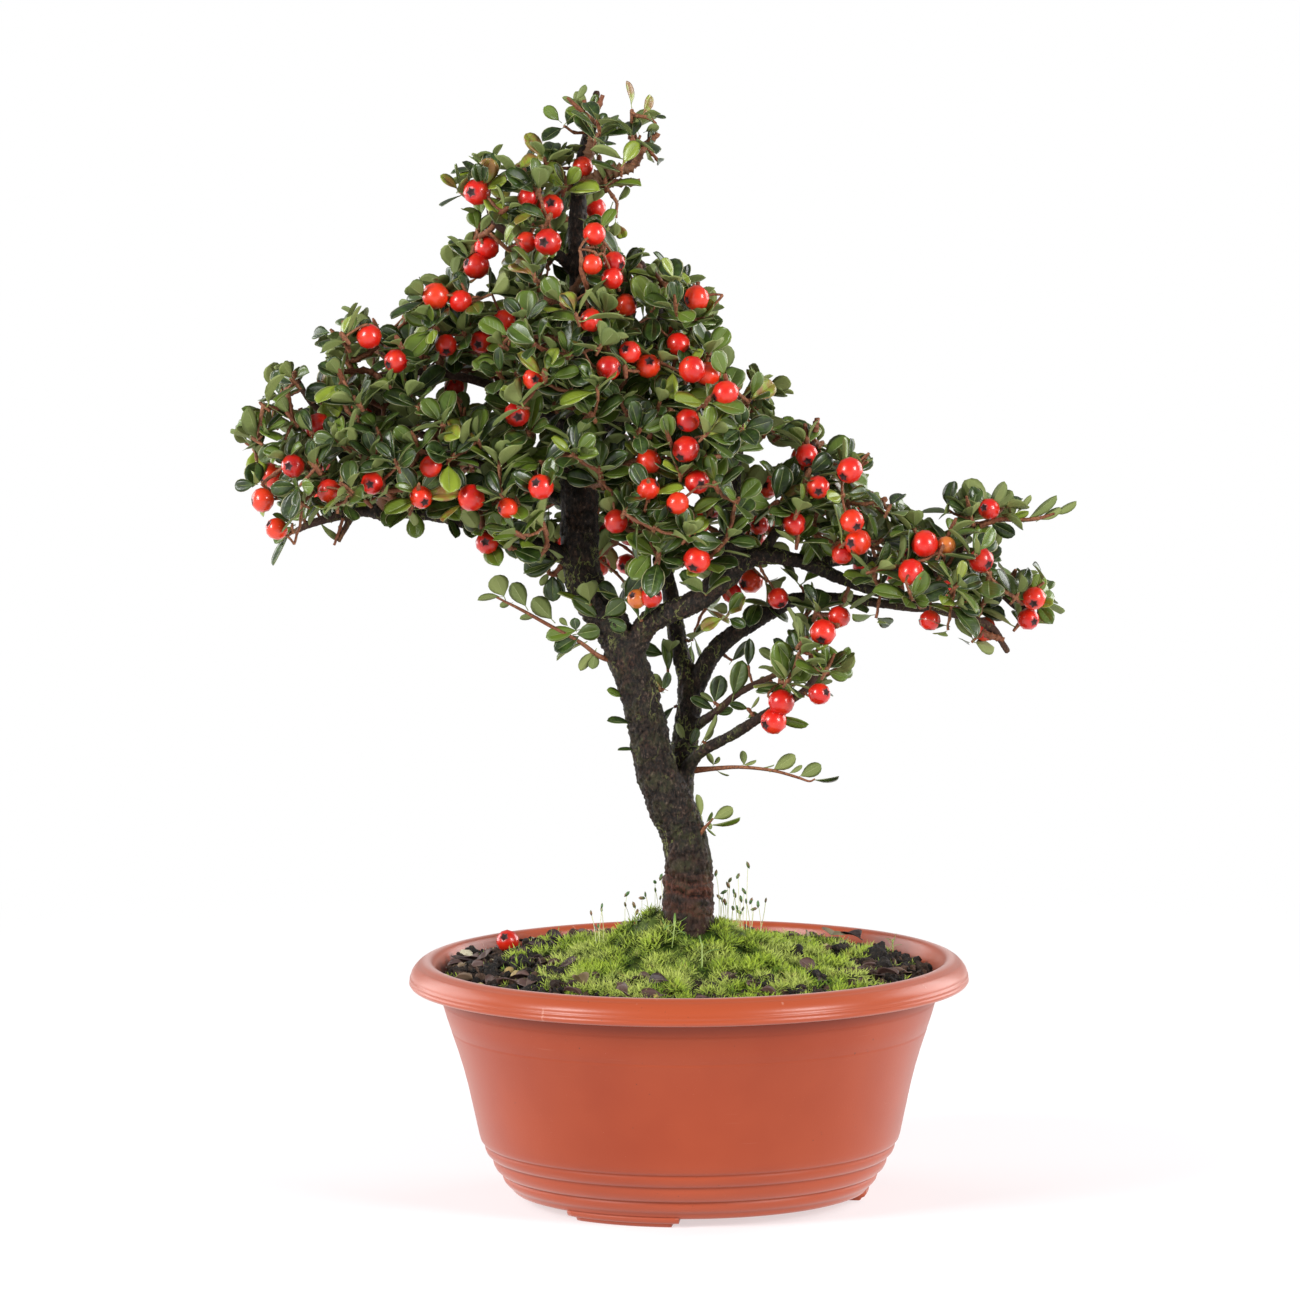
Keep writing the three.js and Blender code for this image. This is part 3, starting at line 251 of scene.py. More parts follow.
# Berries as they are seen from the front, in pixels of the frame
BERRIES_SEEN = [
    (477, 192), (528, 197), (551, 207), (595, 208), (594, 234), (592, 264), (614, 262), (612, 278),
    (583, 167), (526, 242), (548, 242), (487, 247), (477, 266), (461, 301), (436, 296), (446, 345),
    (481, 342), (591, 320), (626, 305), (504, 321), (608, 368), (630, 352), (648, 366), (533, 379),
    (517, 414), (396, 361), (369, 336), (454, 388), (318, 426), (271, 475), (293, 466), (263, 500),
    (277, 529), (329, 491), (372, 483), (431, 466), (421, 497), (471, 498), (508, 508), (487, 543),
    (541, 487), (649, 461), (648, 489), (686, 449), (688, 420), (697, 482), (678, 503), (678, 344),
    (692, 369), (708, 374), (726, 393), (697, 298), (767, 487), (759, 525), (794, 524), (807, 455),
    (850, 470), (818, 487), (852, 521), (858, 542), (842, 554), (925, 544), (989, 509), (981, 560),
    (911, 572), (930, 620), (984, 629), (1034, 598), (1028, 619), (651, 597), (751, 581), (778, 598),
    (839, 617), (823, 632), (819, 694), (781, 702), (774, 721), (732, 593), (616, 521), (697, 560),
]
UNRIPE_BERRIES = [(637, 599), (946, 546)]

# Gaps in the crown that show what is behind, in pixels of the frame, with their radius
GAPS_SEEN = [
    (563, 609, 12.8), (757, 670, 11.4), (472, 398, 10.8), (767, 643, 10.1), (716, 731, 10), (315, 381, 9.7),
    (691, 498, 8.8), (725, 688, 8.1), (695, 652, 7.8), (786, 579, 7.6), (652, 652, 7.2), (743, 385, 6.7),
    (340, 525, 6.3), (939, 521, 6.2), (782, 626, 6), (609, 199, 5.6), (554, 509, 5.6), (496, 282, 5.4),
    (490, 298, 5.4), (479, 284, 5.2), (365, 364, 5.2), (673, 722, 5), (706, 761, 5), (784, 457, 4.8),
    (642, 320, 4.7), (751, 696, 4.7), (467, 478, 4.5), (633, 163, 4.4), (700, 734, 4.4), (614, 146, 4.2),
    (662, 704, 4.1), (435, 394, 4), (307, 404, 4), (757, 701, 4), (1022, 517, 3.9), (508, 595, 3.9),
    (746, 600, 3.9), (647, 129, 3.8), (415, 330, 3.8), (753, 611, 3.7), (426, 379, 3.6), (536, 446, 3.3),
]

# Bites out of the crown's edge, in pixels of the frame, with their radius
EDGE_BITES = [
    (516, 150, 14), (438, 190, 10), (462, 220, 10), (624, 234, 14), (438, 262, 12), (696, 270, 8),
    (384, 306, 15), (330, 320, 9), (398, 330, 8), (310, 352, 8), (733, 358, 10), (768, 364, 8),
    (262, 382, 9), (312, 378, 6), (250, 400, 6), (780, 406, 10), (802, 412, 13), (828, 438, 8),
    (238, 450, 7), (880, 480, 14), (468, 548, 6), (1008, 558, 6), (918, 624, 8), (852, 630, 6),
    (620, 104, 10),
]

# Stretches of the trunk that no leaf stands in front of, as [left, right, low, high] in the crown's plane
BARE_STRETCHES = [(-45, -27, 190, 243), (-44.5, -35.5, 308, 342)]

# Small sprouts on the old wood: pixel of the frame, number of leaves and the way they point, as (x, z)
SPROUTS = [
    (590, 604, 2, (-0.6, 0.5)), (706, 594, 4, (0, 0.6)), (735, 600, 2, (0.5, -0.2)), (416, 507, 1, (0, -1)),
    (446, 510, 1, (0.3, -1)), (466, 510, 1, (0.2, -1)), (400, 500, 1, (-0.5, -0.8)),
    (497, 530, 2, (0.1, -1)), (670, 560, 3, (0.2, 0.4)), (652, 552, 3, (-0.2, -0.5)),
    (640, 620, 2, (0.3, 0.6)), (560, 560, 3, (-0.7, 0.2)), (622, 600, 3, (0, 0.4)),
    (760, 600, 3, (0.2, -0.8)), (800, 585, 3, (0.1, 0.8)), (690, 640, 2, (0.6, 0.5)),
    (668, 655, 2, (-0.4, 0.6)),
]

# Pruned ends that stand clear of the leaves: pixels of the frame with radius, then Y
STUBS = [
    ([(583, 186, 2.6), (598, 177, 2.5), (614, 171, 2.3), (634, 168, 1.9)], -9),
    ([(590, 190, 1.7), (612, 183, 1.5), (640, 182, 1.3)], -8),
    ([(584, 186, 2.5), (587, 160, 2), (592, 140, 1.8), (592, 119, 1.5)], -3),
    ([(632, 168, 1.5), (642, 150, 1.3), (658, 133, 1.0)], -9),
    ([(592, 119, 1.1), (584, 100, 0.8)], -3), ([(592, 122, 1.2), (603, 95, 0.8)], -3),
    ([(571, 190, 1.8), (558, 168, 1.5), (549, 161, 1.3)], -6),
    ([(649, 300, 1.5), (640, 275, 1.3), (634, 254, 1.0)], -12),
    ([(700, 310, 1.2), (698, 282, 0.8)], -8), ([(340, 398, 1.2), (336, 372, 1)], -10),
    ([(305, 430, 1.2), (300, 408, 0.9)], -10), ([(388, 390, 1.4), (372, 372, 1.2), (340, 372, 1)], -12),
    ([(432, 452, 1.3), (438, 418, 1.3)], -16), ([(336, 470, 1.2), (330, 452, 1)], -18),
    ([(352, 485, 1.2), (350, 455, 1.1)], -20), ([(815, 432, 1.2), (817, 418, 1)], -8),
    ([(738, 440, 1.3), (744, 410, 1)], -12), ([(343, 518, 0.7), (334, 545, 0.5)], -14),
    ([(508, 480, 1.2), (505, 440, 1)], -20), ([(984, 634, 1.3), (1004, 640, 1.0)], -14),
]

# A leaf's outline as [share of its length, half width], and what a leaf one unit long measures
LEAF_FORM = [(0, 0.05), (0.13, 0.34), (0.31, 0.76), (0.5, 0.98), (0.67, 1), (0.83, 0.83), (0.94, 0.5), (1, 0)]
LEAF_COLUMNS = (-1, -0.52, 0, 0.52, 1)
LEAF_WIDTH = 0.66
LEAF_HALF_THICKNESS = 0.014
STALK_RADIUS = 0.022

# The crown: how the rosettes of leaves stand, how twigs grow, and the berries
ROSETTES = {"room": 9, "apart": 10.6, "off_wood": 3.2, "inside": 4.5, "clear": 2.5}
TWIGS = {"finest": 0.55, "thickest": 1.9, "thickening": 0.36, "step": 4, "sides": 5}
LARGEST_GAP = 8
BERRY_RADIUS = 4.25
BERRY_ROOM = 8.4
CLUSTERS_BEHIND = 60

GROUND = {"wall": 75.2, "bed": 7, "hill": 8, "hill_radius": 24, "radius": 83.9, "heap": 0.9}
MOSS = {"inner": 7.5, "radius": 58, "thickness": 2.6, "climb": 8, "step": 1.5, "blades": 8}
# How many of each lie on the ground by rule
LITTER = {"crumbs": 2600, "chips": 190, "pebbles": 16, "leaves": 90, "stalks": 40}


# Small helpers
def rgb(text):
    """A colour written as in a paint chart, as the light that it sends back."""
    shares = [int(text[i:i + 2], 16) / 255 for i in (0, 2, 4)]
    return (*[((s + 0.055) / 1.055) ** 2.4 if s > 0.04045 else s / 12.92 for s in shares], 1)


def in_metres(points):
    return (np.asarray(points, float) + (BOWL_X, BOWL_Y, 0)) * MM


def unit(vectors):
    vectors = np.asarray(vectors, float)
    return vectors / np.maximum(np.linalg.norm(vectors, axis=-1, keepdims=True), 1e-9)


def smooth(values, low, high):
    share = np.clip((np.asarray(values, float) - low) / (high - low), 0, 1)
    return share * share * (3 - 2 * share)


def in_scene(name, data):
    """A new object in the scene, which holds a mesh, a curve, a camera or a light."""
    made = bpy.data.objects.new(name, data)
    bpy.context.scene.collection.objects.link(made)
    return made


def mesh_object(name, points, faces):
    mesh = bpy.data.meshes.new(name)
    mesh.from_pydata([tuple(p) for p in points], [], faces)
    return in_scene(name, mesh)


def finished_mesh(piece):
    """The mesh of a piece with its modifiers applied."""
    return bpy.data.meshes.new_from_object(piece.evaluated_get(bpy.context.evaluated_depsgraph_get()))


def shade(piece, paint, smoothly=True):
    piece.data.materials.clear()
    piece.data.materials.append(paint)
    piece.data.polygons.foreach_set("use_smooth", [smoothly] * len(piece.data.polygons))
    return piece


def keep(mesh, name, values, kind="FLOAT", domain="POINT"):
    """Stores values on a mesh under a name."""
    made = mesh.attributes.new(name, kind, domain)
    field = "vector" if kind == "FLOAT_VECTOR" else "value"
    made.data.foreach_set(field, np.asarray(values, np.int32 if kind == "INT" else np.float32).ravel())


def vectors_of(items, field):
    flat = np.empty(3 * len(items))
    items.foreach_get(field, flat)
    return flat.reshape(-1, 3)


def settled(piece, slot, *nodes):
    """A finished piece: it rides on the tree and stands for its nodes. The slot is not used."""
    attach(piece, "root")
    if nodes:
        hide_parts(*nodes)


# Materials
class Value:
    """A number or colour that changes over a surface. Numbers are worked with in plain expressions."""

    def __init__(self, paint, socket):
        self.paint = paint
        self.socket = socket

    def __add__(self, other):
        return self.paint.maths("ADD", self, other)

    def __sub__(self, other):
        return self.paint.maths("SUBTRACT", self, other)

    def __rsub__(self, other):
        return self.paint.maths("SUBTRACT", other, self)

    def __mul__(self, other):
        return self.paint.maths("MULTIPLY", self, other)

    def __abs__(self):
        return self.paint.maths("ABSOLUTE", self)

    __radd__ = __add__
    __rmul__ = __mul__

    def step(self, low, high):
        """0 below low, 1 above high, smooth between."""
        inputs = {"Value": self, "From Min": low, "From Max": high}
        return self.paint.node("ShaderNodeMapRange", {"interpolation_type": "SMOOTHSTEP"}, inputs)


class Paint:
    """A material, built up from nodes."""

    def __init__(self, name, **constants):
        self.material = bpy.data.materials.new(name)
        self.material.use_nodes = True
        self.tree = self.material.node_tree
        self.shader = self.tree.nodes["Principled BSDF"]
        for key, value in constants.items():
            self.shader.inputs[key.replace("_", " ")].default_value = value
        self.place = self.node("ShaderNodeTexCoord", output="Object")

    def feed(self, socket, value):
        if isinstance(value, Value):
            self.tree.links.new(value.socket, socket)
        else:
            socket.default_value = value

    def node(self, kind, settings=None, inputs=None, output=0):
        made = self.tree.nodes.new(kind)
        for key, value in (settings or {}).items():
            setattr(made, key, value)
        for key, value in (inputs or {}).items():
            self.feed(made.inputs[key], value)
        return Value(self, made.outputs[output])

    def maths(self, operation, *values):
        return self.node("ShaderNodeMath", {"operation": operation}, dict(enumerate(values)))

    def number(self, name):
        return self.node("ShaderNodeAttribute", {"attribute_name": name}, output="Fac")

    def coordinate(self, axis):
        return self.node("ShaderNodeSeparateXYZ", None, {0: self.place}, axis)

    def stretched(self, x, y, z):
        return self.node("ShaderNodeVectorMath", {"operation": "MULTIPLY"}, {0: self.place, 1: (x, y, z)})

    def clouds(self, per_metre, detail=3, place=None, rough=0.55):
        inputs = {"Vector": place or self.place, "Scale": per_metre, "Detail": detail, "Roughness": rough}
        return self.node("ShaderNodeTexNoise", None, inputs, "Fac")

    def cells(self, per_metre, place=None):
        inputs = {"Vector": place or self.place, "Scale": per_metre}
        return self.node("ShaderNodeTexVoronoi", None, inputs, "Distance")

    def mix(self, share, first, second):
        first, second = (rgb(end) if isinstance(end, str) else end for end in (first, second))
        return self.node("ShaderNodeMix", {"data_type": "RGBA"}, {0: share, 6: first, 7: second}, 2)

    def layers(self, colour, *coats):
        """The colour under coats of (share, colour), each laid over the ones before."""
        for share, coat in coats:
            colour = self.mix(share, colour, coat)
        return colour

    def finish(self, colour, rough, relief=None, depth=0.0002, coat=None):
        self.feed(self.shader.inputs["Base Color"], colour)
        self.feed(self.shader.inputs["Roughness"], rough)
        if coat is not None:
            self.feed(self.shader.inputs["Coat Weight"], coat)
        if relief is not None:
            bump = self.node("ShaderNodeBump", None, {"Height": relief, "Distance": depth, "Strength": 0.7})
            self.feed(self.shader.inputs["Normal"], bump)
        return self.material


def leaf_paint():
    """Glossy olive green above with a pale midrib and a pale margin, part of it painted highlight along the
    rim, paler and matt below.
    """
    paint = Paint("leaf", Coat_Roughness=0.18, Specular_IOR_Level=0.45)
    tone = paint.number("tone")
    along = paint.number("along")
    across = abs(paint.number("across"))
    under = paint.number("underside")
    patch = paint.clouds(260)
    speck = paint.clouds(1500, 2)
    veins = paint.maths("SINE", along * 42 - across * 11).step(0.6, 1) * (1 - across)
    rib = across.step(0.06, 0.012) * along.step(1, 0.6)
    above = paint.layers(
        "1d2d0e",
        (patch.step(0.35, 0.7), "3a5219"),
        (tone.step(0.35, 0.85), "5f7524"),
        (tone.step(0.86, 0.94), "87982f"),
        (veins * 0.07, "80935a"),
        (rib * 0.6, "a3ae6c"),
        # Pale margin: the leaf's own pale edge, painted brighter as a highlight along the rim.
        (across.step(0.9, 0.97) * 0.75, "bdb98c"),
        (speck.step(0.64, 0.74) * patch.step(0.48, 0.7) * 0.55, "97865a"),
        (tone.step(0.955, 0.975) * patch.step(0.35, 0.6) * 0.8, "8c4f33"))
    below = paint.layers(
        "6d7a41",
        (rib * 0.6 + veins * 0.1, "a2aa74"),
        (tone.step(0.2, 0.9) * 0.6, "8b9455"))
    rough = 0.3 + patch * 0.14 + under * 0.3
    relief = (1 - veins * 0.35) * (1 - rib * 0.7) + speck * 0.1
    return paint.finish(paint.mix(under, above, below), rough, relief, 0.0002, coat=0.36 - under * 0.36)


def dead_leaf_paint():
    """Fallen leaves, from purple-brown to tan, and a few still green."""
    paint = Paint("dead_leaf", Specular_IOR_Level=0.5)
    tone = paint.number("tone")
    across = abs(paint.number("across"))
    patch = paint.clouds(300)
    colour = paint.layers(
        "281519",
        (tone.step(0, 0.8), "59403a"),
        (tone.step(0.85, 1), "8a755c"),
        (tone.step(1.3, 1.9) * patch.step(0.35, 0.55), "5c6a2c"),
        (patch.step(0.45, 0.7) * 0.4, "7a685c"),
        (across.step(0.1, 0.02) * 0.4, "8b7a6a"))
    return paint.finish(colour, 0.4 + patch * 0.3, patch, 0.0004)


def bark_paint():
    """Nearly black fissured bark: ruddy scales, a few worn ridges, and green lichen towards the foot."""
    paint = Paint("bark", Specular_IOR_Level=0.3)
    crack = paint.number("crack")
    thick = paint.number("thick")
    height = paint.coordinate("Z")
    grain = paint.clouds(1100, 6, paint.stretched(1, 1, 0.55), 0.72)
    blotch = paint.clouds(140, 4)
    scale = paint.cells(520, paint.stretched(1, 1, 0.6))
    thread = abs(paint.clouds(230, 4, paint.stretched(1, 1, 0.5)) - 0.5).step(0.02, 0.005)
    patches = height.step(0.29, 0.2) * paint.clouds(70, 2).step(0.44, 0.6)
    film = height.step(0.25, 0.11) * paint.clouds(190, 5).step(0.47, 0.64) * crack.step(0.2, 0.7)
    foot = height.step(0.128, 0.1) * blotch.step(0.35, 0.6)
    colour = paint.layers(
        "0e0a08",
        (grain.step(0.4, 0.66), "3d2f26"),
        (blotch.step(0.5, 0.64) * grain.step(0.42, 0.62) * 0.6, "4c3025"),
        (crack.step(0.7, 1) * grain.step(0.55, 0.68) * 0.7, "766759"),
        (thread * patches * 0.8, "838a4c"),
        (film * 0.45, "414526"),
        (foot * 0.5, "4a2c22"),
        (paint.number("scar") * grain.step(0.35, 0.6) * 0.85, "6a3a2b"),
        (thick.step(2, 1.2) * 0.6, "4c2f22"),
        (thick.step(1.2, 0.95) * grain.step(0.3, 0.6) * 0.8, "86623f"),
        (crack.step(0.4, 0) * 0.9, "080504"))
    return paint.finish(colour, 0.5 + grain * 0.3, grain * 0.9 + scale * 0.4, 0.0014)


def twig_paint():
    """Red-brown young wood with a rough skin."""
    paint = Paint("twig", Specular_IOR_Level=0.35)
    grain = paint.clouds(1400, 4)
    dots = paint.cells(1100).step(0.25, 0.1)
    colour = paint.layers(
        "5e3724",
        (grain.step(0.3, 0.7), "9a6444"),
        (paint.clouds(90, 2).step(0.48, 0.62) * 0.45, "70341f"),
        (paint.number("thick").step(1, 2), "6a4a32"),
        (dots * 0.35, "b08c6c"))
    return paint.finish(colour, 0.55 + grain * 0.2, grain + dots, 0.0002)


def berry_paint():
    """Glossy scarlet skin with a few pale dots and a dark brown star at the calyx."""
    paint = Paint("berry", Coat_Roughness=0.1, Specular_IOR_Level=0.45)
    tone = paint.number("tone")
    calyx = paint.number("calyx")
    patch = paint.clouds(180)
    colour = paint.layers(
        "b40c0a",
        (tone.step(0, 0.6), "d41b10"),
        (tone.step(0.6, 0.86), "da3410"),
        (patch.step(0.4, 0.7) * 0.6, "e03a1a"),
        (tone.step(0.9, 1), "c8702c"),
        (tone.step(0.9, 1) * patch.step(0.45, 0.65) * 0.6, "b04a20"),
        (paint.cells(900).step(0.16, 0.08) * 0.25, "f0a07a"),
        (calyx.step(0.02, 0.3) * 0.6, "861419"),
        (calyx.step(0.35, 0.8), "311312"))
    return paint.finish(colour, 0.28 + patch * 0.1 + calyx * 0.35, patch, 0.0001, coat=0.5 - calyx * 0.5)


def plastic_paint():
    """Terracotta-coloured plastic: a satin body, a glossier lip, dust and a few scratches, with painted shade
    in each groove ring, a painted shadow under the lip and painted light near the foot.
    """
    paint = Paint("bowl_plastic", Specular_IOR_Level=0.4, Sheen_Weight=0.32, Sheen_Roughness=0.4)
    height = paint.coordinate("Z")
    fine = paint.clouds(1800, 2)
    scratch = paint.clouds(420, 2, paint.stretched(0.1, 0.1, 3)).step(0.7, 0.78)
    lip = height.step(0.0725, 0.0735)
    # Painted shadow: the wall just under the lip is darkened where the lip shades it.
    painted_lip_shadow = height.step(0.0665, 0.073) * (1 - lip)
    # Painted shade: thin darker lines along each groove ring of the wall.
    painted_groove_shade = sum(abs(height - groove * MM).step(0.0009, 0.0002) for groove in GROOVES)
    ticks = paint.clouds(300, 2, paint.stretched(1, 1, 0.02)).step(0.72, 0.75) * lip
    dust = paint.clouds(2600, 2).step(0.7, 0.8) * paint.clouds(60).step(0.4, 0.7)
    specks = paint.clouds(700, 2).step(0.735, 0.76) * paint.clouds(45).step(0.45, 0.6)
    colour = paint.layers(
        "943611",
        (paint.clouds(22, 3).step(0.3, 0.75), "9e3f1a"),
        # Painted light: lighter towards the foot, where the pale floor lights the wall from below.
        (height.step(0.03, 0) * 0.5, "b0563a"),
        (painted_lip_shadow * 0.55, "6e2814"),
        (painted_groove_shade * 0.28, "7a2f1a"),
        (lip * 0.85, "ac4c2b"),
        (dust * 0.35 + scratch * 0.05 + ticks * 0.2, "e0b8a2"),
        (specks * 0.8, "3c2a22"))
    rough = 0.42 - lip * 0.15 + fine * 0.1 + scratch * 0.1
    return paint.finish(colour, rough, fine * 0.4 + scratch * 0.4 + ticks, 0.00006)


def soil_paint():
    """Dark damp potting soil."""
    paint = Paint("soil", Specular_IOR_Level=0.3)
    grain = paint.clouds(900, 5, rough=0.7)
    colour = paint.layers(
        "15100d",
        (grain.step(0.3, 0.7), "3d2e25"),
        (paint.clouds(150, 3).step(0.55, 0.75) * 0.5, "5d4636"))
    return paint.finish(colour, 0.8 + grain * 0.15, grain, 0.0012)


def chip_paint():
    """Bark chips and crumbs of peat, from nearly black to ruddy brown."""
    paint = Paint("bark_chip", Specular_IOR_Level=0.35)
    tone = paint.number("tone")
    grain = paint.clouds(1100, 5, paint.stretched(1, 0.4, 1), 0.7)
    colour = paint.layers(
        "130e0c",
        (tone.step(0.1, 1), "4f392b"),
        (tone.step(1.3, 1.9), "b0622a"),
        (grain.step(0.5, 0.75) * 0.45, "7a6450"))
    return paint.finish(colour, 0.6 + grain * 0.3, grain, 0.0011)


def pebble_paint():
    """Pebbles, from yellowish to whitish, and one overgrown with green."""
    paint = Paint("pebble", Specular_IOR_Level=0.4)
    tone = paint.number("tone")
    speck = paint.clouds(1300, 4)
    colour = paint.layers(
        "a58a4e",
        (tone.step(0, 1), "c4bda3"),
        (tone.step(1.3, 1.9), "7f8c26"),
        (speck.step(0.45, 0.7) * 0.6, "857454"))
    return paint.finish(colour, 0.6 + speck * 0.25, speck, 0.0005)


def moss_paint():
    """Moss: dark green low down, partly its own older growth and partly painted shade under the tips, bright
    yellow-green at the tips.
    """
    paint = Paint("moss", Specular_IOR_Level=0.35)
    patch = paint.clouds(48, 3)
    # Darker low down: partly the moss's own older growth, partly painted shade under the tips.
    deep = paint.mix(patch.step(0.4, 0.65), "141f06", "2c400c")
    bright = paint.layers(
        "5f8712",
        (paint.number("tone").step(0.1, 0.9), "b4cd3c"),
        (patch.step(0.42, 0.62) * 0.7, "d2dc74"),
        (paint.clouds(260, 2).step(0.6, 0.72) * 0.5, "b89a62"))
    return paint.finish(paint.mix(paint.number("tip").step(0.12, 0.8), deep, bright), 0.5 + patch * 0.25)


def stalk_paint():
    """The thin pale stalks of the moss and their green and brown capsules."""
    paint = Paint("moss_stalk", Specular_IOR_Level=0.4)
    patch = paint.clouds(500)
    pale = paint.mix(patch.step(0.4, 0.7), "c6cf8e", "dcd3ac")
    capsule = paint.mix(patch.step(0.42, 0.62), "4f7440", "7a5a3c")
    return paint.finish(paint.mix(paint.number("tone").step(0.4, 0.6), pale, capsule), 0.45 + patch * 0.1)


def grass_paint():
    """The fresh green of seedlings."""
    paint = Paint("seedling", Specular_IOR_Level=0.45)
    across = abs(paint.number("across"))
    colour = paint.layers(
        "a3b464",
        (paint.number("along").step(0, 1), "5c8434"),
        (across.step(0.2, 0) * 0.4, "b5cc7a"))
    return paint.finish(colour, 0.45 + across * 0.1)


def floor_paint():
    """A pale floor, which runs out to the white of the room."""
    paint = Paint("floor", Specular_IOR_Level=0.0, Emission_Strength=1.0)
    away = paint.node("ShaderNodeVectorMath", {"operation": "LENGTH"}, {0: paint.place}, "Value")
    near = away.step(0.75, 0.12)
    paint.feed(paint.shader.inputs["Emission Color"], paint.mix(near, "ffffff", "c8c6c7"))
    return paint.finish(paint.mix(near, "000000", "b4b1b2"), 0.8 + paint.clouds(3) * 0.05)


# Geometry node trees
class Tree:
    """A geometry node tree with named inputs. mesh_on() gives what it makes of a carrier object."""

    def __init__(self, name):
        self.tree = bpy.data.node_groups.new(name, "GeometryNodeTree")
        self.tree.interface.new_socket("Geometry", in_out="INPUT", socket_type="NodeSocketGeometry")
        self.tree.interface.new_socket("Geometry", in_out="OUTPUT", socket_type="NodeSocketGeometry")
        self.start = self.tree.nodes.new("NodeGroupInput")
        self.end = self.tree.nodes.new("NodeGroupOutput")
        self.values = {}

    def ask(self, name, kind, value):
        socket = self.tree.interface.new_socket(name, in_out="INPUT", socket_type=kind)
        self.values[socket.identifier] = value
        return self.start.outputs[name]

    def node(self, kind, settings=None, inputs=None, output=0):
        made = self.tree.nodes.new(kind)
        for key, value in (settings or {}).items():
            setattr(made, key, value)
        for key, value in (inputs or {}).items():
            if isinstance(value, bpy.types.NodeSocket):
                self.tree.links.new(value, made.inputs[key])
            else:
                made.inputs[key].default_value = value
        return made.outputs[output]

    def stored(self, name, kind="FLOAT"):
        return self.node("GeometryNodeInputNamedAttribute", {"data_type": kind}, {"Name": name})

    def ends_with(self, geometry, paint):
        whole = self.node("GeometryNodeRealizeInstances", None, {"Geometry": geometry})
        painted = self.node("GeometryNodeSetMaterial", None, {"Geometry": whole, "Material": paint})
        self.tree.links.new(painted, self.end.inputs[0])

    def mesh_on(self, carrier, name):
        modifier = carrier.modifiers.new("tree", "NODES")
        modifier.node_group = self.tree
        for identifier, value in self.values.items():
            modifier[identifier] = value
        mesh = finished_mesh(carrier)
        bpy.data.objects.remove(carrier)
        return in_scene(name, mesh)


def tubes(name, lines, sides, paint):
    """Round tubes along lines of points and radii, as one mesh."""
    curve = bpy.data.curves.new(name, "CURVE")
    curve.dimensions = "3D"
    for points, radii in lines:
        spline = curve.splines.new("POLY")
        spline.points.add(len(points) - 1)
        places = np.ones((len(points), 4))
        places[:, :3] = in_metres(points)
        spline.points.foreach_set("co", places.ravel())
        spline.points.foreach_set("radius", np.asarray(radii, float) * MM)
    tree = Tree(name)
    around = tree.ask("Sides", "NodeSocketInt", sides)
    radius = tree.node("GeometryNodeInputRadius")
    thick = tree.node("ShaderNodeMath", {"operation": "MULTIPLY"}, {0: radius, 1: 1 / MM})
    marked = tree.node("GeometryNodeStoreNamedAttribute", {"data_type": "FLOAT", "domain": "POINT"},
                       {"Geometry": tree.start.outputs[0], "Name": "thick", "Value": thick})
    section = tree.node("GeometryNodeCurvePrimitiveCircle", None, {"Resolution": around, "Radius": 1.0})
    bent = tree.node("GeometryNodeCurveToMesh", None,
                     {"Curve": marked, "Profile Curve": section, "Scale": radius, "Fill Caps": True})
    tree.ends_with(bent, paint)
    return shade(tree.mesh_on(in_scene(name, curve), name), paint)


def copies(name, spots, forms, paint, smoothly=True):
    """Copies of a few forms, set out on spots of place, turn, size, kind and tone."""
    group = bpy.data.collections.new(name + "_forms")
    for number, form in enumerate(forms):
        form.name = f"form_{number:02d}"
        bpy.context.scene.collection.objects.unlink(form)
        group.objects.link(form)
    carrier = mesh_object(name, in_metres([s["place"] for s in spots]), [])
    keep(carrier.data, "turn", [s["turn"].to_euler() for s in spots], "FLOAT_VECTOR")
    keep(carrier.data, "size", [s["size"] for s in spots], "FLOAT_VECTOR")
    keep(carrier.data, "kind", [s.get("kind", 0) for s in spots], "INT")
    keep(carrier.data, "tone", [s.get("tone", 0.5) for s in spots])
    tree = Tree(name)
    source = tree.ask("Forms", "NodeSocketCollection", group)
    picked = tree.node("GeometryNodeCollectionInfo", None,
                       {"Collection": source, "Separate Children": True, "Reset Children": True})
    turn = tree.node("FunctionNodeEulerToRotation", None, {0: tree.stored("turn", "FLOAT_VECTOR")})
    placed = tree.node("GeometryNodeInstanceOnPoints", None, {
        "Points": tree.start.outputs[0], "Instance": picked, "Pick Instance": True,
        "Instance Index": tree.stored("kind", "INT"), "Rotation": turn,
        "Scale": tree.stored("size", "FLOAT_VECTOR")})
    tree.ends_with(placed, paint)
    made = tree.mesh_on(carrier, name)
    for form in list(group.objects):
        bpy.data.objects.remove(form)
    bpy.data.collections.remove(group)
    return shade(made, paint, smoothly)


# Forms that repeat
def ring(radius, height, sides):
    angles = [2 * math.pi * i / sides for i in range(sides)]
    return [(radius * math.cos(angle), radius * math.sin(angle), height) for angle in angles]


def ring_faces(rows, sides):
    """Faces of a closed form whose points are one, then rows of as many as it has sides, then one."""
    faces = [[0, 1 + (i + 1) % sides, 1 + i] for i in range(sides)]
    for row in range(rows - 1):
        low = 1 + row * sides
        for i in range(sides):
            after = (i + 1) % sides
            faces.append([low + i, low + after, low + sides + after, low + sides + i])
    last = 1 + (rows - 1) * sides
    faces.extend([last + i, last + (i + 1) % sides, last + sides] for i in range(sides))
    return faces


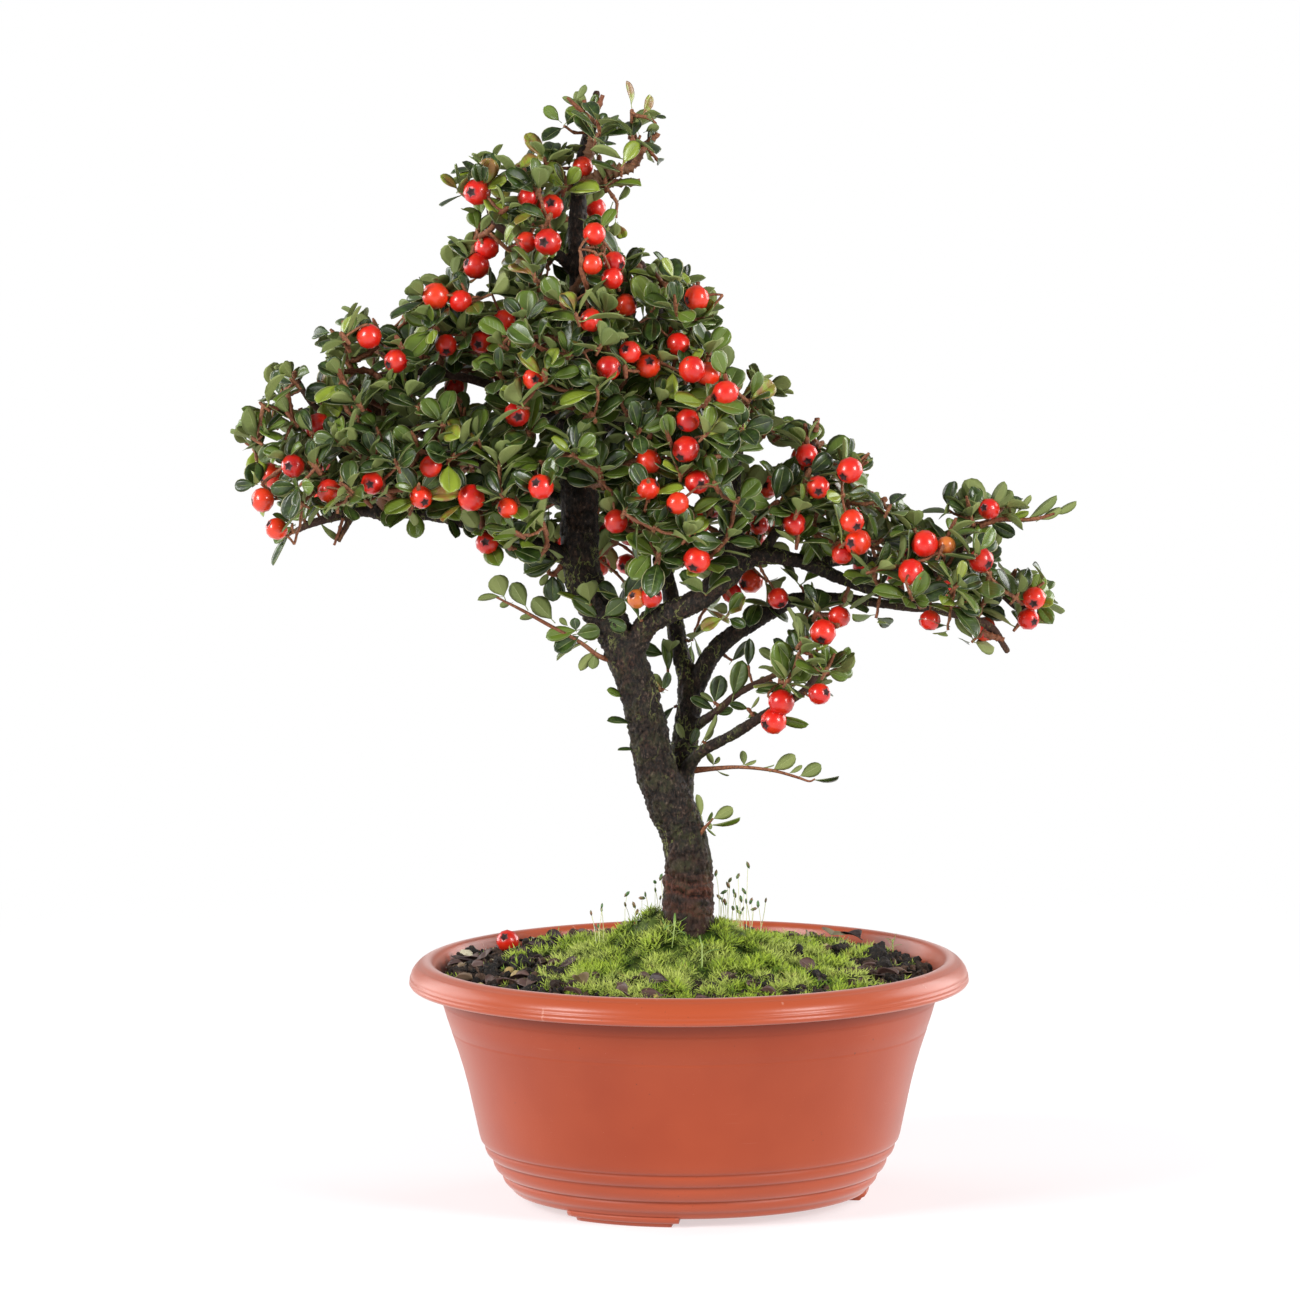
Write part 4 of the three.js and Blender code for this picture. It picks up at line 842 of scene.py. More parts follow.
def leaf_form(fold, arch, notch, width=1.0, twist=0.0):
    """A leaf one unit long, along +Y with its upper face up, closed, with a short stalk."""
    points = []
    alongs = []
    acrosses = []
    top = []
    bottom = []
    for share, half in LEAF_FORM:
        row_top = []
        row_bottom = []
        for column in LEAF_COLUMNS:
            x = column * half * LEAF_WIDTH / 2 * width
            dip = notch * (1 - abs(column)) if share == 1 else 0
            y = share - dip
            rise = fold * abs(x) - fold * 0.9 * x * x / (LEAF_WIDTH * width)
            rise += arch * (0.3 * share - share ** 2) + twist * x * share
            rim = abs(column) == 1 or half == 0
            for row, side in ((row_top, 1), (row_bottom, -1)):
                if rim and side == -1:
                    row.append(row_top[len(row)])
                elif half == 0 and column > -1:
                    row.append(row[0])
                else:
                    points.append((x, y, rise + (0 if rim else side * LEAF_HALF_THICKNESS)))
                    alongs.append(share)
                    acrosses.append(column)
                    row.append(len(points) - 1)
        top.append(row_top)
        bottom.append(row_bottom)
    faces = []
    under = []
    for i in range(len(top) - 1):
        for j in range(len(LEAF_COLUMNS) - 1):
            for rows, side in ((top, 0), (bottom, 1)):
                corners = [rows[i][j], rows[i][j + 1], rows[i + 1][j + 1], rows[i + 1][j]]
                if side:
                    corners.reverse()
                kept = list(dict.fromkeys(corners))
                if len(kept) > 2:
                    faces.append(kept)
                    under.append(side)
    first = [*top[0], *bottom[0][3:0:-1]]
    faces.append(first[::-1])
    under.append(1)
    stalk = len(points)
    for y in (-0.2, 0.06):
        points.extend((x, y, z) for x, z, _ in ring(STALK_RADIUS, 0, 3))
        alongs.extend([0, 0, 0])
        acrosses.extend([0, 0, 0])
    for turn in range(3):
        after = (turn + 1) % 3
        faces.append([stalk + after, stalk + turn, stalk + 3 + turn, stalk + 3 + after])
        under.append(0)
    faces.extend([[stalk, stalk + 1, stalk + 2], [stalk + 5, stalk + 4, stalk + 3]])
    under.extend([0, 0])
    form = mesh_object("leaf", points, faces)
    keep(form.data, "along", alongs)
    keep(form.data, "across", acrosses)
    keep(form.data, "underside", under, domain="FACE")
    for edge in form.data.edges:
        edge.use_edge_sharp = all(acrosses[end] == 0 and 0 < alongs[end] < 1 for end in edge.vertices)
    return form


def berry_form():
    """A berry one unit in radius, with its calyx up: a raised star of five points round a dimple."""
    sides = 10
    skin = [(-0.96, 0.1), (-0.82, 0.5), (-0.42, 0.9), (0.08, 1), (0.55, 0.86), (0.84, 0.55)]
    star = [(0.94, 0.42, 0.3, 0.3), (0.93, 0.36, 0.18, 1), (0.8, 0.1, 0.1, 1)]
    points = [(0, 0, -0.93)]
    calyx = [0] * (1 + sides * len(skin))
    for height, radius in skin:
        points.extend(ring(radius, height, sides))
    for height, long, short, mark in star:
        outer, inner = ring(long, height, sides), ring(short, height, sides)
        points.extend(outer[i] if i % 2 == 0 else inner[i] for i in range(sides))
        calyx.extend([mark] * sides)
    points.append((0, 0, 0.78))
    form = mesh_object("berry", points, ring_faces(len(skin) + len(star), sides))
    keep(form.data, "calyx", calyx + [1])
    return form


def lump_form(seed, flat, rough, level=1):
    """An irregular crumb or stone, about one unit in radius."""
    shape = bmesh.new()
    bmesh.ops.create_icosphere(shape, subdivisions=level, radius=1)
    for corner in shape.verts:
        push = noise.noise(corner.co * 1.3 + Vector((seed * 7.1, 3, 1)))
        corner.co *= 1 + rough * push
        corner.co.z *= flat
    mesh = bpy.data.meshes.new("lump")
    shape.to_mesh(mesh)
    shape.free()
    return in_scene("lump", mesh)


def moss_form(seed, blades, spread):
    """A moss plant one unit tall: narrow pointed leaves that stand out like a star from its stem."""
    rng = np.random.default_rng(seed)
    points = []
    faces = []
    tips = []
    for i in range(blades):
        turn = 2.4 * i + 0.4 * rng.random()
        out = np.array([math.cos(turn), math.sin(turn), 0])
        side = np.array([-math.sin(turn), math.cos(turn), 0])
        base = 0.1 + 0.6 * i / blades
        low = out * 0.03 + (0, 0, base)
        top = min(1.1, base + 0.3 + 0.25 * rng.random())
        high = out * spread * (0.56 - 0.34 * i / blades) + (0, 0, top)
        first = len(points)
        points.extend([low - side * 0.055, low + side * 0.055, low + out * 0.05 + (0, 0, -0.03), high])
        tips.extend([0.7 * base, 0.7 * base, 0.7 * base, 0.5 + 0.5 * base])
        faces.extend([[first + a for a in face] for face in ((0, 1, 3), (1, 2, 3), (2, 0, 3))])
    form = mesh_object("moss", points, faces)
    keep(form.data, "tip", tips)
    return form


def turn_to(ahead, facing):
    """The turn that lays +Y along ahead and +Z as near as can be along facing."""
    ahead = Vector(ahead).normalized()
    across = ahead.cross(Vector(facing)).normalized()
    up = across.cross(ahead)
    return Matrix((across, ahead, up)).transposed()


def turn_up(axis, spin):
    """The turn that lays +Z along the axis, spun round it."""
    return Vector(axis).to_track_quat("Z", "Y").to_matrix() @ Matrix.Rotation(spin, 3, "Z")


# The camera, and what it sees
# The lights, in metres: place, aim, size and power
LIGHTS = {
    "left_box": ((-1.6, -1.15, 1.0), (0, 0, 0.2), (0.7, 0.9), 41),
    "right_box": ((1.5, -1.2, 0.85), (0, 0, 0.2), (0.6, 0.9), 34),
    "left_rim": ((-1.5, 0.9, 0.55), (0, 0, 0.1), (1.4, 1.2), 21),
    "right_rim": ((1.5, 1.0, 0.65), (0, 0, 0.1), (1.2, 1.2), 22),
}
ROOM_LIGHT = 0.29
FLOOR_HALF = 30


def camera_place():
    pitch = math.radians(CAMERA["pitch"])
    x, y, z = CAMERA["aim"]
    return np.array([x, y - CAMERA["distance"] * math.cos(pitch), z + CAMERA["distance"] * math.sin(pitch)])


def sight(px, py):
    """The direction in which the camera sees a pixel of the frame."""
    pitch = math.radians(CAMERA["pitch"])
    roll = math.radians(CAMERA["roll"])
    dx = px - CAMERA["frame"] / 2
    dy = py - CAMERA["frame"] / 2
    right = dx * math.cos(roll) - dy * math.sin(roll)
    down = dy * math.cos(roll) + dx * math.sin(roll)
    ahead = np.array([0, math.cos(pitch), -math.sin(pitch)])
    up = np.array([0, math.sin(pitch), math.cos(pitch)])
    return unit(CAMERA["focal"] * ahead + right * np.array([1, 0, 0]) - down * up)


def on_plane(points):
    """Where the camera sees points, as [x, z] in the plane through the bowl's axis."""
    eye = camera_place()
    points = np.asarray(points, float)
    share = -eye[1] / (points[..., 1] - eye[1])
    return np.stack([eye[axis] + (points[..., axis] - eye[axis]) * share for axis in (0, 2)], -1)


def depth_inside(spots, outline):
    """How far each spot lies inside an outline. It is negative outside."""
    spots = np.asarray(spots, float)[:, None, :]
    start = np.array(outline, float)[None]
    end = np.roll(start, -1, axis=1)
    side = end - start
    share = np.clip(((spots - start) * side).sum(-1) / (side ** 2).sum(-1), 0, 1)
    distance = np.linalg.norm(spots - start - share[..., None] * side, axis=-1).min(1)
    above = (start[..., 1] > spots[..., 1]) != (end[..., 1] > spots[..., 1])
    rise = np.where(side[..., 1] == 0, 1e-9, side[..., 1])
    crossing = start[..., 0] + (spots[..., 1] - start[..., 1]) * side[..., 0] / rise
    inside = (above & (spots[..., 0] < crossing)).sum(1) % 2 == 1
    return np.where(inside, distance, -distance)


def at_depth(px, py, y):
    """The place in the upright plane at y that the camera sees at a pixel."""
    eye = camera_place()
    ray = sight(px, py)
    return eye + ray * (y - eye[1]) / ray[1]


def make_camera():
    data = bpy.data.cameras.new("camera")
    data.sensor_width = 36
    data.lens = CAMERA["focal"] / CAMERA["frame"] * data.sensor_width
    data.clip_end = 100
    camera = in_scene("camera", data)
    camera.location = Vector(in_metres(camera_place()))
    tilt = Matrix.Rotation(math.radians(90 - CAMERA["pitch"]), 3, "X")
    roll = Matrix.Rotation(-math.radians(CAMERA["roll"]), 3, "Z")
    camera.rotation_euler = (tilt @ roll).to_euler()
    bpy.context.scene.camera = camera


def make_light(name, place, aim, size, power):
    data = bpy.data.lights.new(name, "AREA")
    data.shape = "RECTANGLE"
    data.size, data.size_y = size
    data.energy = power
    light = in_scene(name, data)
    light.location = place
    light.rotation_euler = (Vector(aim) - Vector(place)).to_track_quat("-Z", "Y").to_euler()


def make_studio():
    """A white room, two soft lights in front, two behind, and a pale floor."""
    scene = bpy.context.scene
    scene.view_settings.view_transform = "Standard"
    world = bpy.data.worlds.new("studio")
    world.use_nodes = True
    tree = world.node_tree
    room = tree.nodes["Background"]
    room.inputs["Color"].default_value = (1, 1, 1, 1)
    room.inputs["Strength"].default_value = ROOM_LIGHT
    backdrop = tree.nodes.new("ShaderNodeBackground")
    backdrop.inputs["Color"].default_value = (1, 1, 1, 1)
    rays = tree.nodes.new("ShaderNodeLightPath")
    either = tree.nodes.new("ShaderNodeMixShader")
    tree.links.new(rays.outputs["Is Camera Ray"], either.inputs[0])
    tree.links.new(room.outputs[0], either.inputs[1])
    tree.links.new(backdrop.outputs[0], either.inputs[2])
    tree.links.new(either.outputs[0], tree.nodes["World Output"].inputs["Surface"])
    scene.world = world
    for name, (place, aim, size, power) in LIGHTS.items():
        make_light(name, place, aim, size, power)
    half = FLOOR_HALF
    corners = [(-half, -half, 0), (half, -half, 0), (half, half, 0), (-half, half, 0)]
    floor = mesh_object("floor", corners, [[0, 1, 2, 3]])
    shade(floor, floor_paint())


# The bowl
# Its wall's outline from the axis underneath, over the lip and back to the axis, as [radius, height]
BOWL_OUTSIDE = [
    (0, 3), (59.2, 3), (60.2, 3.3), (61, 4.2), (61.4, 5.1), (62.6, 5.8), (63.4, 6.8), (63.8, 7.9),
    (63.7, 8.8), (63.4, 9.3), (64.8, 9.8), (66, 10.8), (66.8, 12.3), (67.1, 13.7), (66.9, 14.8),
    (68.1, 15.3), (69.1, 16.3), (69.7, 17.7), (69.8, 18.8), (69.5, 19.3), (70.4, 19.8), (71.1, 20.8),
    (71.6, 22.4), (72.2, 25.2), (73, 29), (74.2, 34.5), (75.4, 40), (76.9, 45.8), (78.6, 51.5),
    (80.6, 57.5), (80.75, 57.9), (80.7, 58.3), (80.9, 58.6), (82.5, 63.4), (83.6, 67.2), (83.75, 67.6),
    (83.65, 68), (83.8, 68.4), (84, 69.2), (84.9, 72.6), (85.3, 74.1), (91.9, 74.4), (92.5, 73.7),
    (93.4, 73.2), (94.4, 73.5), (95, 74.4), (94.9, 75), (94.6, 75.3), (94.85, 75.7), (94.75, 76.3),
    (94.35, 76.6), (94.45, 77.1), (94.1, 78.1), (93.4, 79.2), (92.5, 80.2), (91.8, 80.8), (91.5, 80.85),
    (90.9, 81.4), (89.8, 81.85), (88.6, 82), (87.5, 81.7), (86.8, 81.1), (86.3, 80), (85.6, 77.6),
    (84.4, 73.6), (80.4, 62), (76.6, 51.5), (73.2, 38), (69, 21), (66, 15), (61.5, 8.5), (58, 6), (0, 5.6),
]
GROOVES = (5.4, 9.4, 14.9, 19.4)
FOOT_TURNS = (-113.5, 6.5, 126.5)
# The two steps of a foot: how many degrees it spans, and its section as [radius, height]
FOOT_STEPS = [
    (34, [(50, 0), (58.2, 0), (58.7, 0.3), (59, 1), (59.4, 1.6), (50, 1.6)]),
    (39, [(50, 1.4), (59.6, 1.4), (60.4, 1.8), (60.9, 2.8), (60.9, 3.6), (50, 3.6)]),
]
DRAIN = {"radius": 4, "ring": 32}


def turned(profile, segments):
    """Points and faces of a closed form turned round the bowl's axis. The profile starts and ends on it."""
    points = [(0, 0, profile[0][1])]
    for radius, height in profile[1:-1]:
        points.extend(ring(radius, height, segments))
    points.append((0, 0, profile[-1][1]))
    return np.array(points), ring_faces(len(profile) - 2, segments)


def arc_block(turn, spread, section):
    """A closed block bent round the bowl's axis: its section is a loop of [radius, height]."""
    steps = 20
    points = []
    for i in range(steps + 1):
        angle = math.radians(turn - spread / 2 + spread * i / steps)
        points.extend((r * math.cos(angle), r * math.sin(angle), z) for r, z in section)
    count = len(section)
    faces = [list(range(count))[::-1], [steps * count + i for i in range(count)]]
    for i in range(steps):
        for j in range(count):
            after = (j + 1) % count
            faces.append([i * count + j, i * count + after, (i + 1) * count + after, (i + 1) * count + j])
    return points, faces


def joined_parts(name, parts):
    """One object of several closed parts of [points, faces], in millimetres."""
    points = []
    faces = []
    for part_points, part_faces in parts:
        start = len(points)
        points.extend(map(tuple, part_points))
        faces.extend([start + corner for corner in face] for face in part_faces)
    return mesh_object(name, in_metres(points), faces)


def face_outwards(piece):
    shape = bmesh.new()
    shape.from_mesh(piece.data)
    bmesh.ops.recalc_face_normals(shape, faces=shape.faces)
    shape.to_mesh(piece.data)
    shape.free()


def drain_holes(piece):
    """Cuts the drain holes, one in the middle and four round it, through the floor of the bowl."""
    turns = np.arange(4) * math.pi / 2 + math.pi / 4
    drains = [(0, 0)] + [(DRAIN["ring"] * math.cos(a), DRAIN["ring"] * math.sin(a)) for a in turns]
    points, faces = turned([(0, -2), (DRAIN["radius"], -2), (DRAIN["radius"], 9), (0, 9)], 24)
    cutter = joined_parts("drains", [(points + (x, y, 0), faces) for x, y in drains])
    face_outwards(cutter)
    cut = piece.modifiers.new("drains", "BOOLEAN")
    cut.object = cutter
    cut.operation = "DIFFERENCE"
    cut.solver = "EXACT"
    mesh = finished_mesh(piece)
    bpy.data.objects.remove(cutter)
    piece.modifiers.clear()
    piece.data = mesh


def make_bowl():
    points, faces = turned(BOWL_OUTSIDE, 160)
    shell = mesh_object("bowl_shell", in_metres(points), faces)
    face_outwards(shell)
    drain_holes(shell)
    feet = [arc_block(turn, spread, section) for turn in FOOT_TURNS for spread, section in FOOT_STEPS]
    rests = joined_parts("bowl_feet", feet)
    face_outwards(rests)
    with bpy.context.temp_override(active_object=shell, selected_editable_objects=[shell, rests]):
        bpy.ops.object.join()
    shade(shell, plastic_paint())
    settled(shell, "bowl", "bowl")


# The ground
# The side of the soil against the bowl's wall, from its floor up, as [radius, height]
SOIL_SIDE = [(57.4, 6.3), (60.9, 8.9), (65.4, 15.3), (68.4, 21.3), (72.7, 38.2), (76.1, 51.7), (79.9, 62.2)]


def wander(x, y, per_mm, layer):
    """Smooth noise over the ground. Each layer has its own."""
    return noise.noise(Vector((x * per_mm, y * per_mm, layer)))


def lumps(x, y):
    return (0.5 * np.sin(0.31 * x + 1.3) * np.cos(0.27 * y) + 0.3 * np.sin(0.52 * x - 0.47 * y)
            + 0.2 * np.cos(0.83 * y + 0.35 * x))


def ground_height(x, y):
    radius = np.hypot(x, y)
    share = np.minimum(1, radius / GROUND["radius"])
    bed = GROUND["bed"] * (1 - share ** 2) ** 0.6
    hill = GROUND["hill"] * np.exp(-((radius / GROUND["hill_radius"]) ** 2))
    heap = GROUND["heap"] * np.maximum(0, (0.45 * y - 0.9 * x) / GROUND["radius"])
    return GROUND["wall"] + bed + hill + heap + 0.8 * lumps(x, y)


def moss_height(x, y):
    climb = MOSS["climb"] * np.exp(-((x + 11) ** 2 + (y - 2) ** 2) / 110)
    climb = climb + 0.4 * MOSS["climb"] * np.exp(-((x - 14) ** 2 + y ** 2) / 90)
    return ground_height(x, y) + MOSS["thickness"] + climb + 0.9 * lumps(2.3 * x, 2.3 * y)


def moss_edge(turn):
    """How far out the cushion of moss reaches in each direction."""
    return MOSS["radius"] - 3.5 + 3.2 * (np.sin(3 * turn + 0.6) + 0.6 * np.sin(7 * turn))


def moss_cover(x, y):
    """How thickly moss grows at a place, from 0 to 1. It reaches the front wall."""
    far = (abs((x - 5) / 57) ** 3 + abs((y + 14) / 76) ** 3) ** (1 / 3)
    ragged = 0.3 * wander(x, y, 0.075, 2) + 0.2 * wander(x, y, 0.21, 4)
    return float(smooth(1 + ragged - far, -0.02, 0.2))


def crumble(x, y, scale, amount):
    return np.array([amount * noise.fractal(Vector((a * scale, b * scale, 0)), 0.8, 2.1, 4)
                     for a, b in zip(np.ravel(x), np.ravel(y))])


def on_ground(px, py, lift=0.0):
    """The place on the ground that is seen at a pixel of the frame, or the nearest one to its sight."""
    walk = camera_place() + sight(px, py) * np.arange(2350, 2800, 0.5)[:, None]
    walk[:, 0] = np.clip(walk[:, 0], -77, 77)
    walk = walk[np.hypot(walk[:, 0], walk[:, 1]) < 80]
    radius = np.hypot(walk[:, 0], walk[:, 1])
    on_moss = radius < moss_edge(np.arctan2(walk[:, 1], walk[:, 0])) - 6
    tops = ground_height(walk[:, 0], walk[:, 1]) + 1.6 * on_moss
    below = np.flatnonzero(walk[:, 2] < tops)
    number = below[0] if len(below) else (walk[:, 2] - tops).argmin()
    return np.array([walk[number, 0], walk[number, 1], tops[number] + lift])


def make_soil():
    rings = [(radius, 200) for radius in np.append(np.arange(83, 8, -1.6), 7)]
    points, faces = turned([(0, 6), *SOIL_SIDE, (83.2, 200), *rings, (0, 200)], 180)
    top = points[:, 2] == 200
    x, y = points[top, 0], points[top, 1]
    points[top, 2] = ground_height(x, y) + crumble(x, y, 0.19, 1.3) + crumble(x, y, 0.7, 0.5)
    soil = mesh_object("soil_bed", in_metres(points), faces)
    face_outwards(soil)
    shade(soil, soil_paint())
    settled(soil, "soil", "soil")


def bare_spots(rng, count, nearest, furthest):
    """Places on the soil between two radii, nearly all of them clear of the moss."""
    spots = []
    while len(spots) < count:
        turn = rng.uniform(-math.pi, math.pi)
        radius = math.sqrt(rng.uniform(nearest ** 2, furthest ** 2))
        if radius > moss_edge(turn) - 6 or rng.random() < 0.04:
            x, y = radius * math.cos(turn), radius * math.sin(turn)
            spots.append(np.array([x, y, float(ground_height(x, y))]))
    return spots


def make_crumbs():
    rng = np.random.default_rng(11)
    forms = [lump_form(i, 0.8, 0.7) for i in range(5)]
    spots = []
    for place in bare_spots(rng, LITTER["crumbs"], 20, 82.2):
        size = 0.5 + 1.5 * rng.random() ** 2.2
        turn = turn_up(rng.normal(size=3), rng.uniform(0, 6))
        spots.append({"place": place + (0, 0, 0.4 * size), "turn": turn, "kind": int(rng.integers(5)),
                      "size": np.array([1, rng.uniform(0.6, 1), rng.uniform(0.5, 1)]) * size * MM,
                      "tone": rng.random() ** 2})
    settled(copies("soil_crumbs", spots, forms, chip_paint(), smoothly=False), "soil")


# Chips and clods as they are seen: pixel of the frame, size, kind and tone
CHIPS_SEEN = [
    (474, 958, 2.8, 4, 0), (522, 969, 3.4, 5, 0.1), (502, 966, 2.7, 6, 0.2), (537, 986, 2.8, 4, 0),
    (462, 949, 1.8, 5, 0.1), (512, 961, 1.1, 6, 2), (575, 938, 3, 5, 0.7), (613, 938, 2.6, 4, 0.9),
    (760, 947, 2.4, 0, 0.8), (797, 956, 3.2, 5, 0), (852, 956, 2.8, 6, 0.6), (826, 951, 2.2, 2, 1),
    (877, 962, 4.4, 4, 0.1), (884, 973, 3.8, 5, 0.2), (901, 973, 2.6, 1, 1), (816, 982, 3.2, 6, 0),
    (488, 975, 2.4, 4, 0.1), (550, 975, 2.4, 5, 0.2), (455, 962, 2.4, 6, 0.3), (893, 962, 2.8, 6, 0.3),
    (866, 962, 3, 5, 0.3), (905, 966, 2.2, 4, 0.2), (590, 941, 2, 6, 0.4), (840, 952, 2.4, 4, 0.2),
]


def make_chips():
    """Chips of bark and clods of peat, half sunk in the soil, where most are seen and then by rule."""
    rng = np.random.default_rng(12)
    forms = [lump_form(20 + i, 0.35, 0.75, 2) for i in range(4)]
    forms += [lump_form(30 + i, 0.8, 0.9, 3) for i in range(3)]
    spots = [(on_ground(px, py, 0.35 * size), size, kind, tone) for px, py, size, kind, tone in CHIPS_SEEN]
    for place in bare_spots(rng, LITTER["chips"], 42, 80):
        kind = int(rng.integers(7))
        size = rng.uniform(1.4, 3.2 if kind > 3 else 4.2)
        spots.append((place + (0, 0, 0.4), size, kind, rng.random() ** 2))
    made = []
    for place, size, kind, tone in spots:
        turn = turn_up((0.5 * rng.normal(), 0.5 * rng.normal(), 1), rng.uniform(0, 6))
        made.append({"place": place, "turn": turn, "kind": kind,
                     "size": np.array([1, rng.uniform(0.6, 0.9), 1]) * size * MM, "tone": tone})
    settled(copies("bark_chips", made, forms, chip_paint(), smoothly=False), "soil")


# Pebbles as they are seen: pixel of the frame, size and tone
PEBBLES_SEEN = [
    (466, 947, 3.2, 1), (533, 943, 2.1, 0.7), (509, 974, 1.9, 0.1), (517, 980, 2.4, 0.3),
    (540, 936, 1.9, 2), (665, 902, 2.2, 0.9), (779, 981, 0.9, 1), (825, 950, 1.6, 0.4),
    (527, 943, 1.5, 0.5),
]


def make_pebbles():
    rng = np.random.default_rng(13)
    forms = [lump_form(40 + i, 0.8, 0.35, 2) for i in range(3)]
    made = [(on_ground(px, py, 0.5 * size), size, tone) for px, py, size, tone in PEBBLES_SEEN]
    for place in bare_spots(rng, LITTER["pebbles"], 50, 80):
        made.append((place + (0, 0, 0.4), rng.uniform(0.8, 1.7), rng.random()))
    spots = [{"place": place, "turn": turn_up(rng.normal(size=3), 0), "kind": int(rng.integers(3)),
              "size": np.array([1, 0.85, 0.9]) * size * MM, "tone": tone} for place, size, tone in made]
    settled(copies("pebbles", spots, forms, pebble_paint()), "soil")


# Fallen leaves as they are seen: pixel of the frame, size, tone and how far they stand up
FALLEN_SEEN = [
    (667, 990, 6.5, 0, 1), (475, 966, 9, 0, 0), (486, 960, 8, 0.5, 1), (470, 971, 6, 0.7, 0),
    (518, 987, 9, 0.6, 0), (541, 967, 6, 0.9, 0), (567, 969, 6, 0.9, 0), (585, 991, 7, 1, 0),
    (562, 935, 6, 0, 0), (597, 934, 6, 0.1, 1), (807, 947, 8, 0.4, 0), (820, 941, 8, 0.6, 0),
    (831, 946, 10, 1.6, 1), (846, 950, 8, 2, 1), (860, 949, 9, 0.2, 1), (866, 976, 10, 0.5, 0),
    (852, 974, 9, 0.4, 0), (877, 979, 8, 0.6, 0), (748, 987, 8, 0.5, 0), (446, 962, 7, 0.8, 0),
    (455, 969, 7, 0.9, 0), (530, 940, 6, 0.5, 0),
]


def make_dead_leaves():
    rng = np.random.default_rng(14)
    forms = [leaf_form(0.9, 0.25, 0), leaf_form(0.5, -0.2, 0), leaf_form(1.3, 0.4, 0.05)]
    made = []
    for px, py, size, tone, upright in FALLEN_SEEN:
        made.append((on_ground(px, py, 1.4 + 0.25 * size * upright), size, tone, upright))
    for place in bare_spots(rng, LITTER["leaves"], 42, 79):
        made.append((place + (0, 0, 1.3), rng.uniform(4, 8.5), rng.random() * 1.1, 0))
    spots = []
    for place, size, tone, upright in made:
        ahead = rng.normal(size=3) * (1, 1, 0.3)
        facing = rng.normal(size=3) * 0.5 + (0, -0.9 * upright, 1)
        wide = rng.uniform(0.95, 1.4)
        spots.append({"place": place, "turn": turn_to(ahead, facing), "kind": int(rng.integers(3)),
                      "size": np.array([wide, 1, 1]) * size * MM, "tone": tone})
    settled(copies("dead_leaves", spots, forms, dead_leaf_paint()), "soil")


def cushion_height(x, y, share):
    """The top of the cushion of moss, which sinks into the soil at its edge."""
    swell = 0.9 * wander(x, y, 0.09, 6) + 0.7 * wander(x, y, 0.25, 8)
    full = float(moss_height(x, y)) - 1.9 + swell
    return full + (float(ground_height(x, y)) - 1.2 - full) * float(smooth(share, 0.5, 1))


def make_moss_cushion():
    """The cushion of moss: a sheet of rings round the trunk with its rim and its underside."""
    rings = 34
    segments = 150
    points = []
    for i in range(rings + 1):
        share = i / rings
        for j in range(segments):
            turn = 2 * math.pi * j / segments
            radius = MOSS["inner"] + (moss_edge(turn) - MOSS["inner"]) * share
            x, y = radius * math.cos(turn), radius * math.sin(turn)
            points.append((x, y, cushion_height(x, y, share)))
    points += [(x, y, z - 3) for x, y, z in points[rings * segments:]]
    points += [(x, y, 76) for x, y, _ in points[:segments]]
    rim = (rings + 1) * segments
    last = rim + segments
    strips = [(i * segments, (i + 1) * segments) for i in range(rings + 1)] + [(last, 0), (rim, last)]
    faces = []
    for low, high in strips:
        for j in range(segments):
            after = (j + 1) % segments
            faces.append([low + j, high + j, high + after, low + after])
    cushion = mesh_object("moss_cushion", in_metres(points), faces)
    face_outwards(cushion)
    keep(cushion.data, "tip", np.full(len(points), 0.3))
    keep(cushion.data, "tone", np.zeros(len(points)))
    shade(cushion, moss_paint())
    settled(cushion, "moss", "moss_mound")


def make_moss_plants():
    """The moss plants, close on the cushion and thinner beyond it, in clumps with dark gaps between."""
    rng = np.random.default_rng(15)
    forms = [moss_form(60 + i, MOSS["blades"], spread) for i, spread in enumerate((0.9, 1.2, 1.5, 1.1))]
    inner = MOSS["inner"]
    spots = []
    for x in np.arange(-82, 82, MOSS["step"]):
        for y in np.arange(-82, 82, MOSS["step"]):
            px, py = x + rng.uniform(-0.8, 0.8), y + rng.uniform(-0.8, 0.8)
            radius = math.hypot(px, py)
            clump = float(smooth(wander(px, py, 0.13, 9), -0.25, 0.3))
            thick = moss_cover(px, py) * (0.2 + 0.8 * clump) + 0.02
            if radius < inner + 1 or radius > 81.5 or rng.random() > thick * 1.3:
                continue
            share = min(1, (radius - inner) / (float(moss_edge(math.atan2(py, px))) - inner))
            base = max(float(ground_height(px, py)), cushion_height(px, py, share))
            lean = np.array([px, py, 0]) / 130 + rng.normal(size=3) * 0.32 + (0, 0, 1)
            grassy = float(smooth(wander(px, py, 0.05, 4), 0.05, 0.35))
            tall = (2.2 + 1.3 * rng.random() + 2.4 * clump + 1.2 * grassy) * (0.75 if radius > 68 else 1)
            spots.append({"place": np.array([px, py, base - 0.6]), "turn": turn_up(lean, rng.uniform(0, 6)),
                          "size": np.array([1.15, 1.15, 0.9]) * tall * MM, "kind": int(rng.integers(4)),
                          "tone": min(1, 0.5 * rng.random() + 0.5 * clump)})
    settled(copies("moss_plants", spots, forms, moss_paint()), "moss")


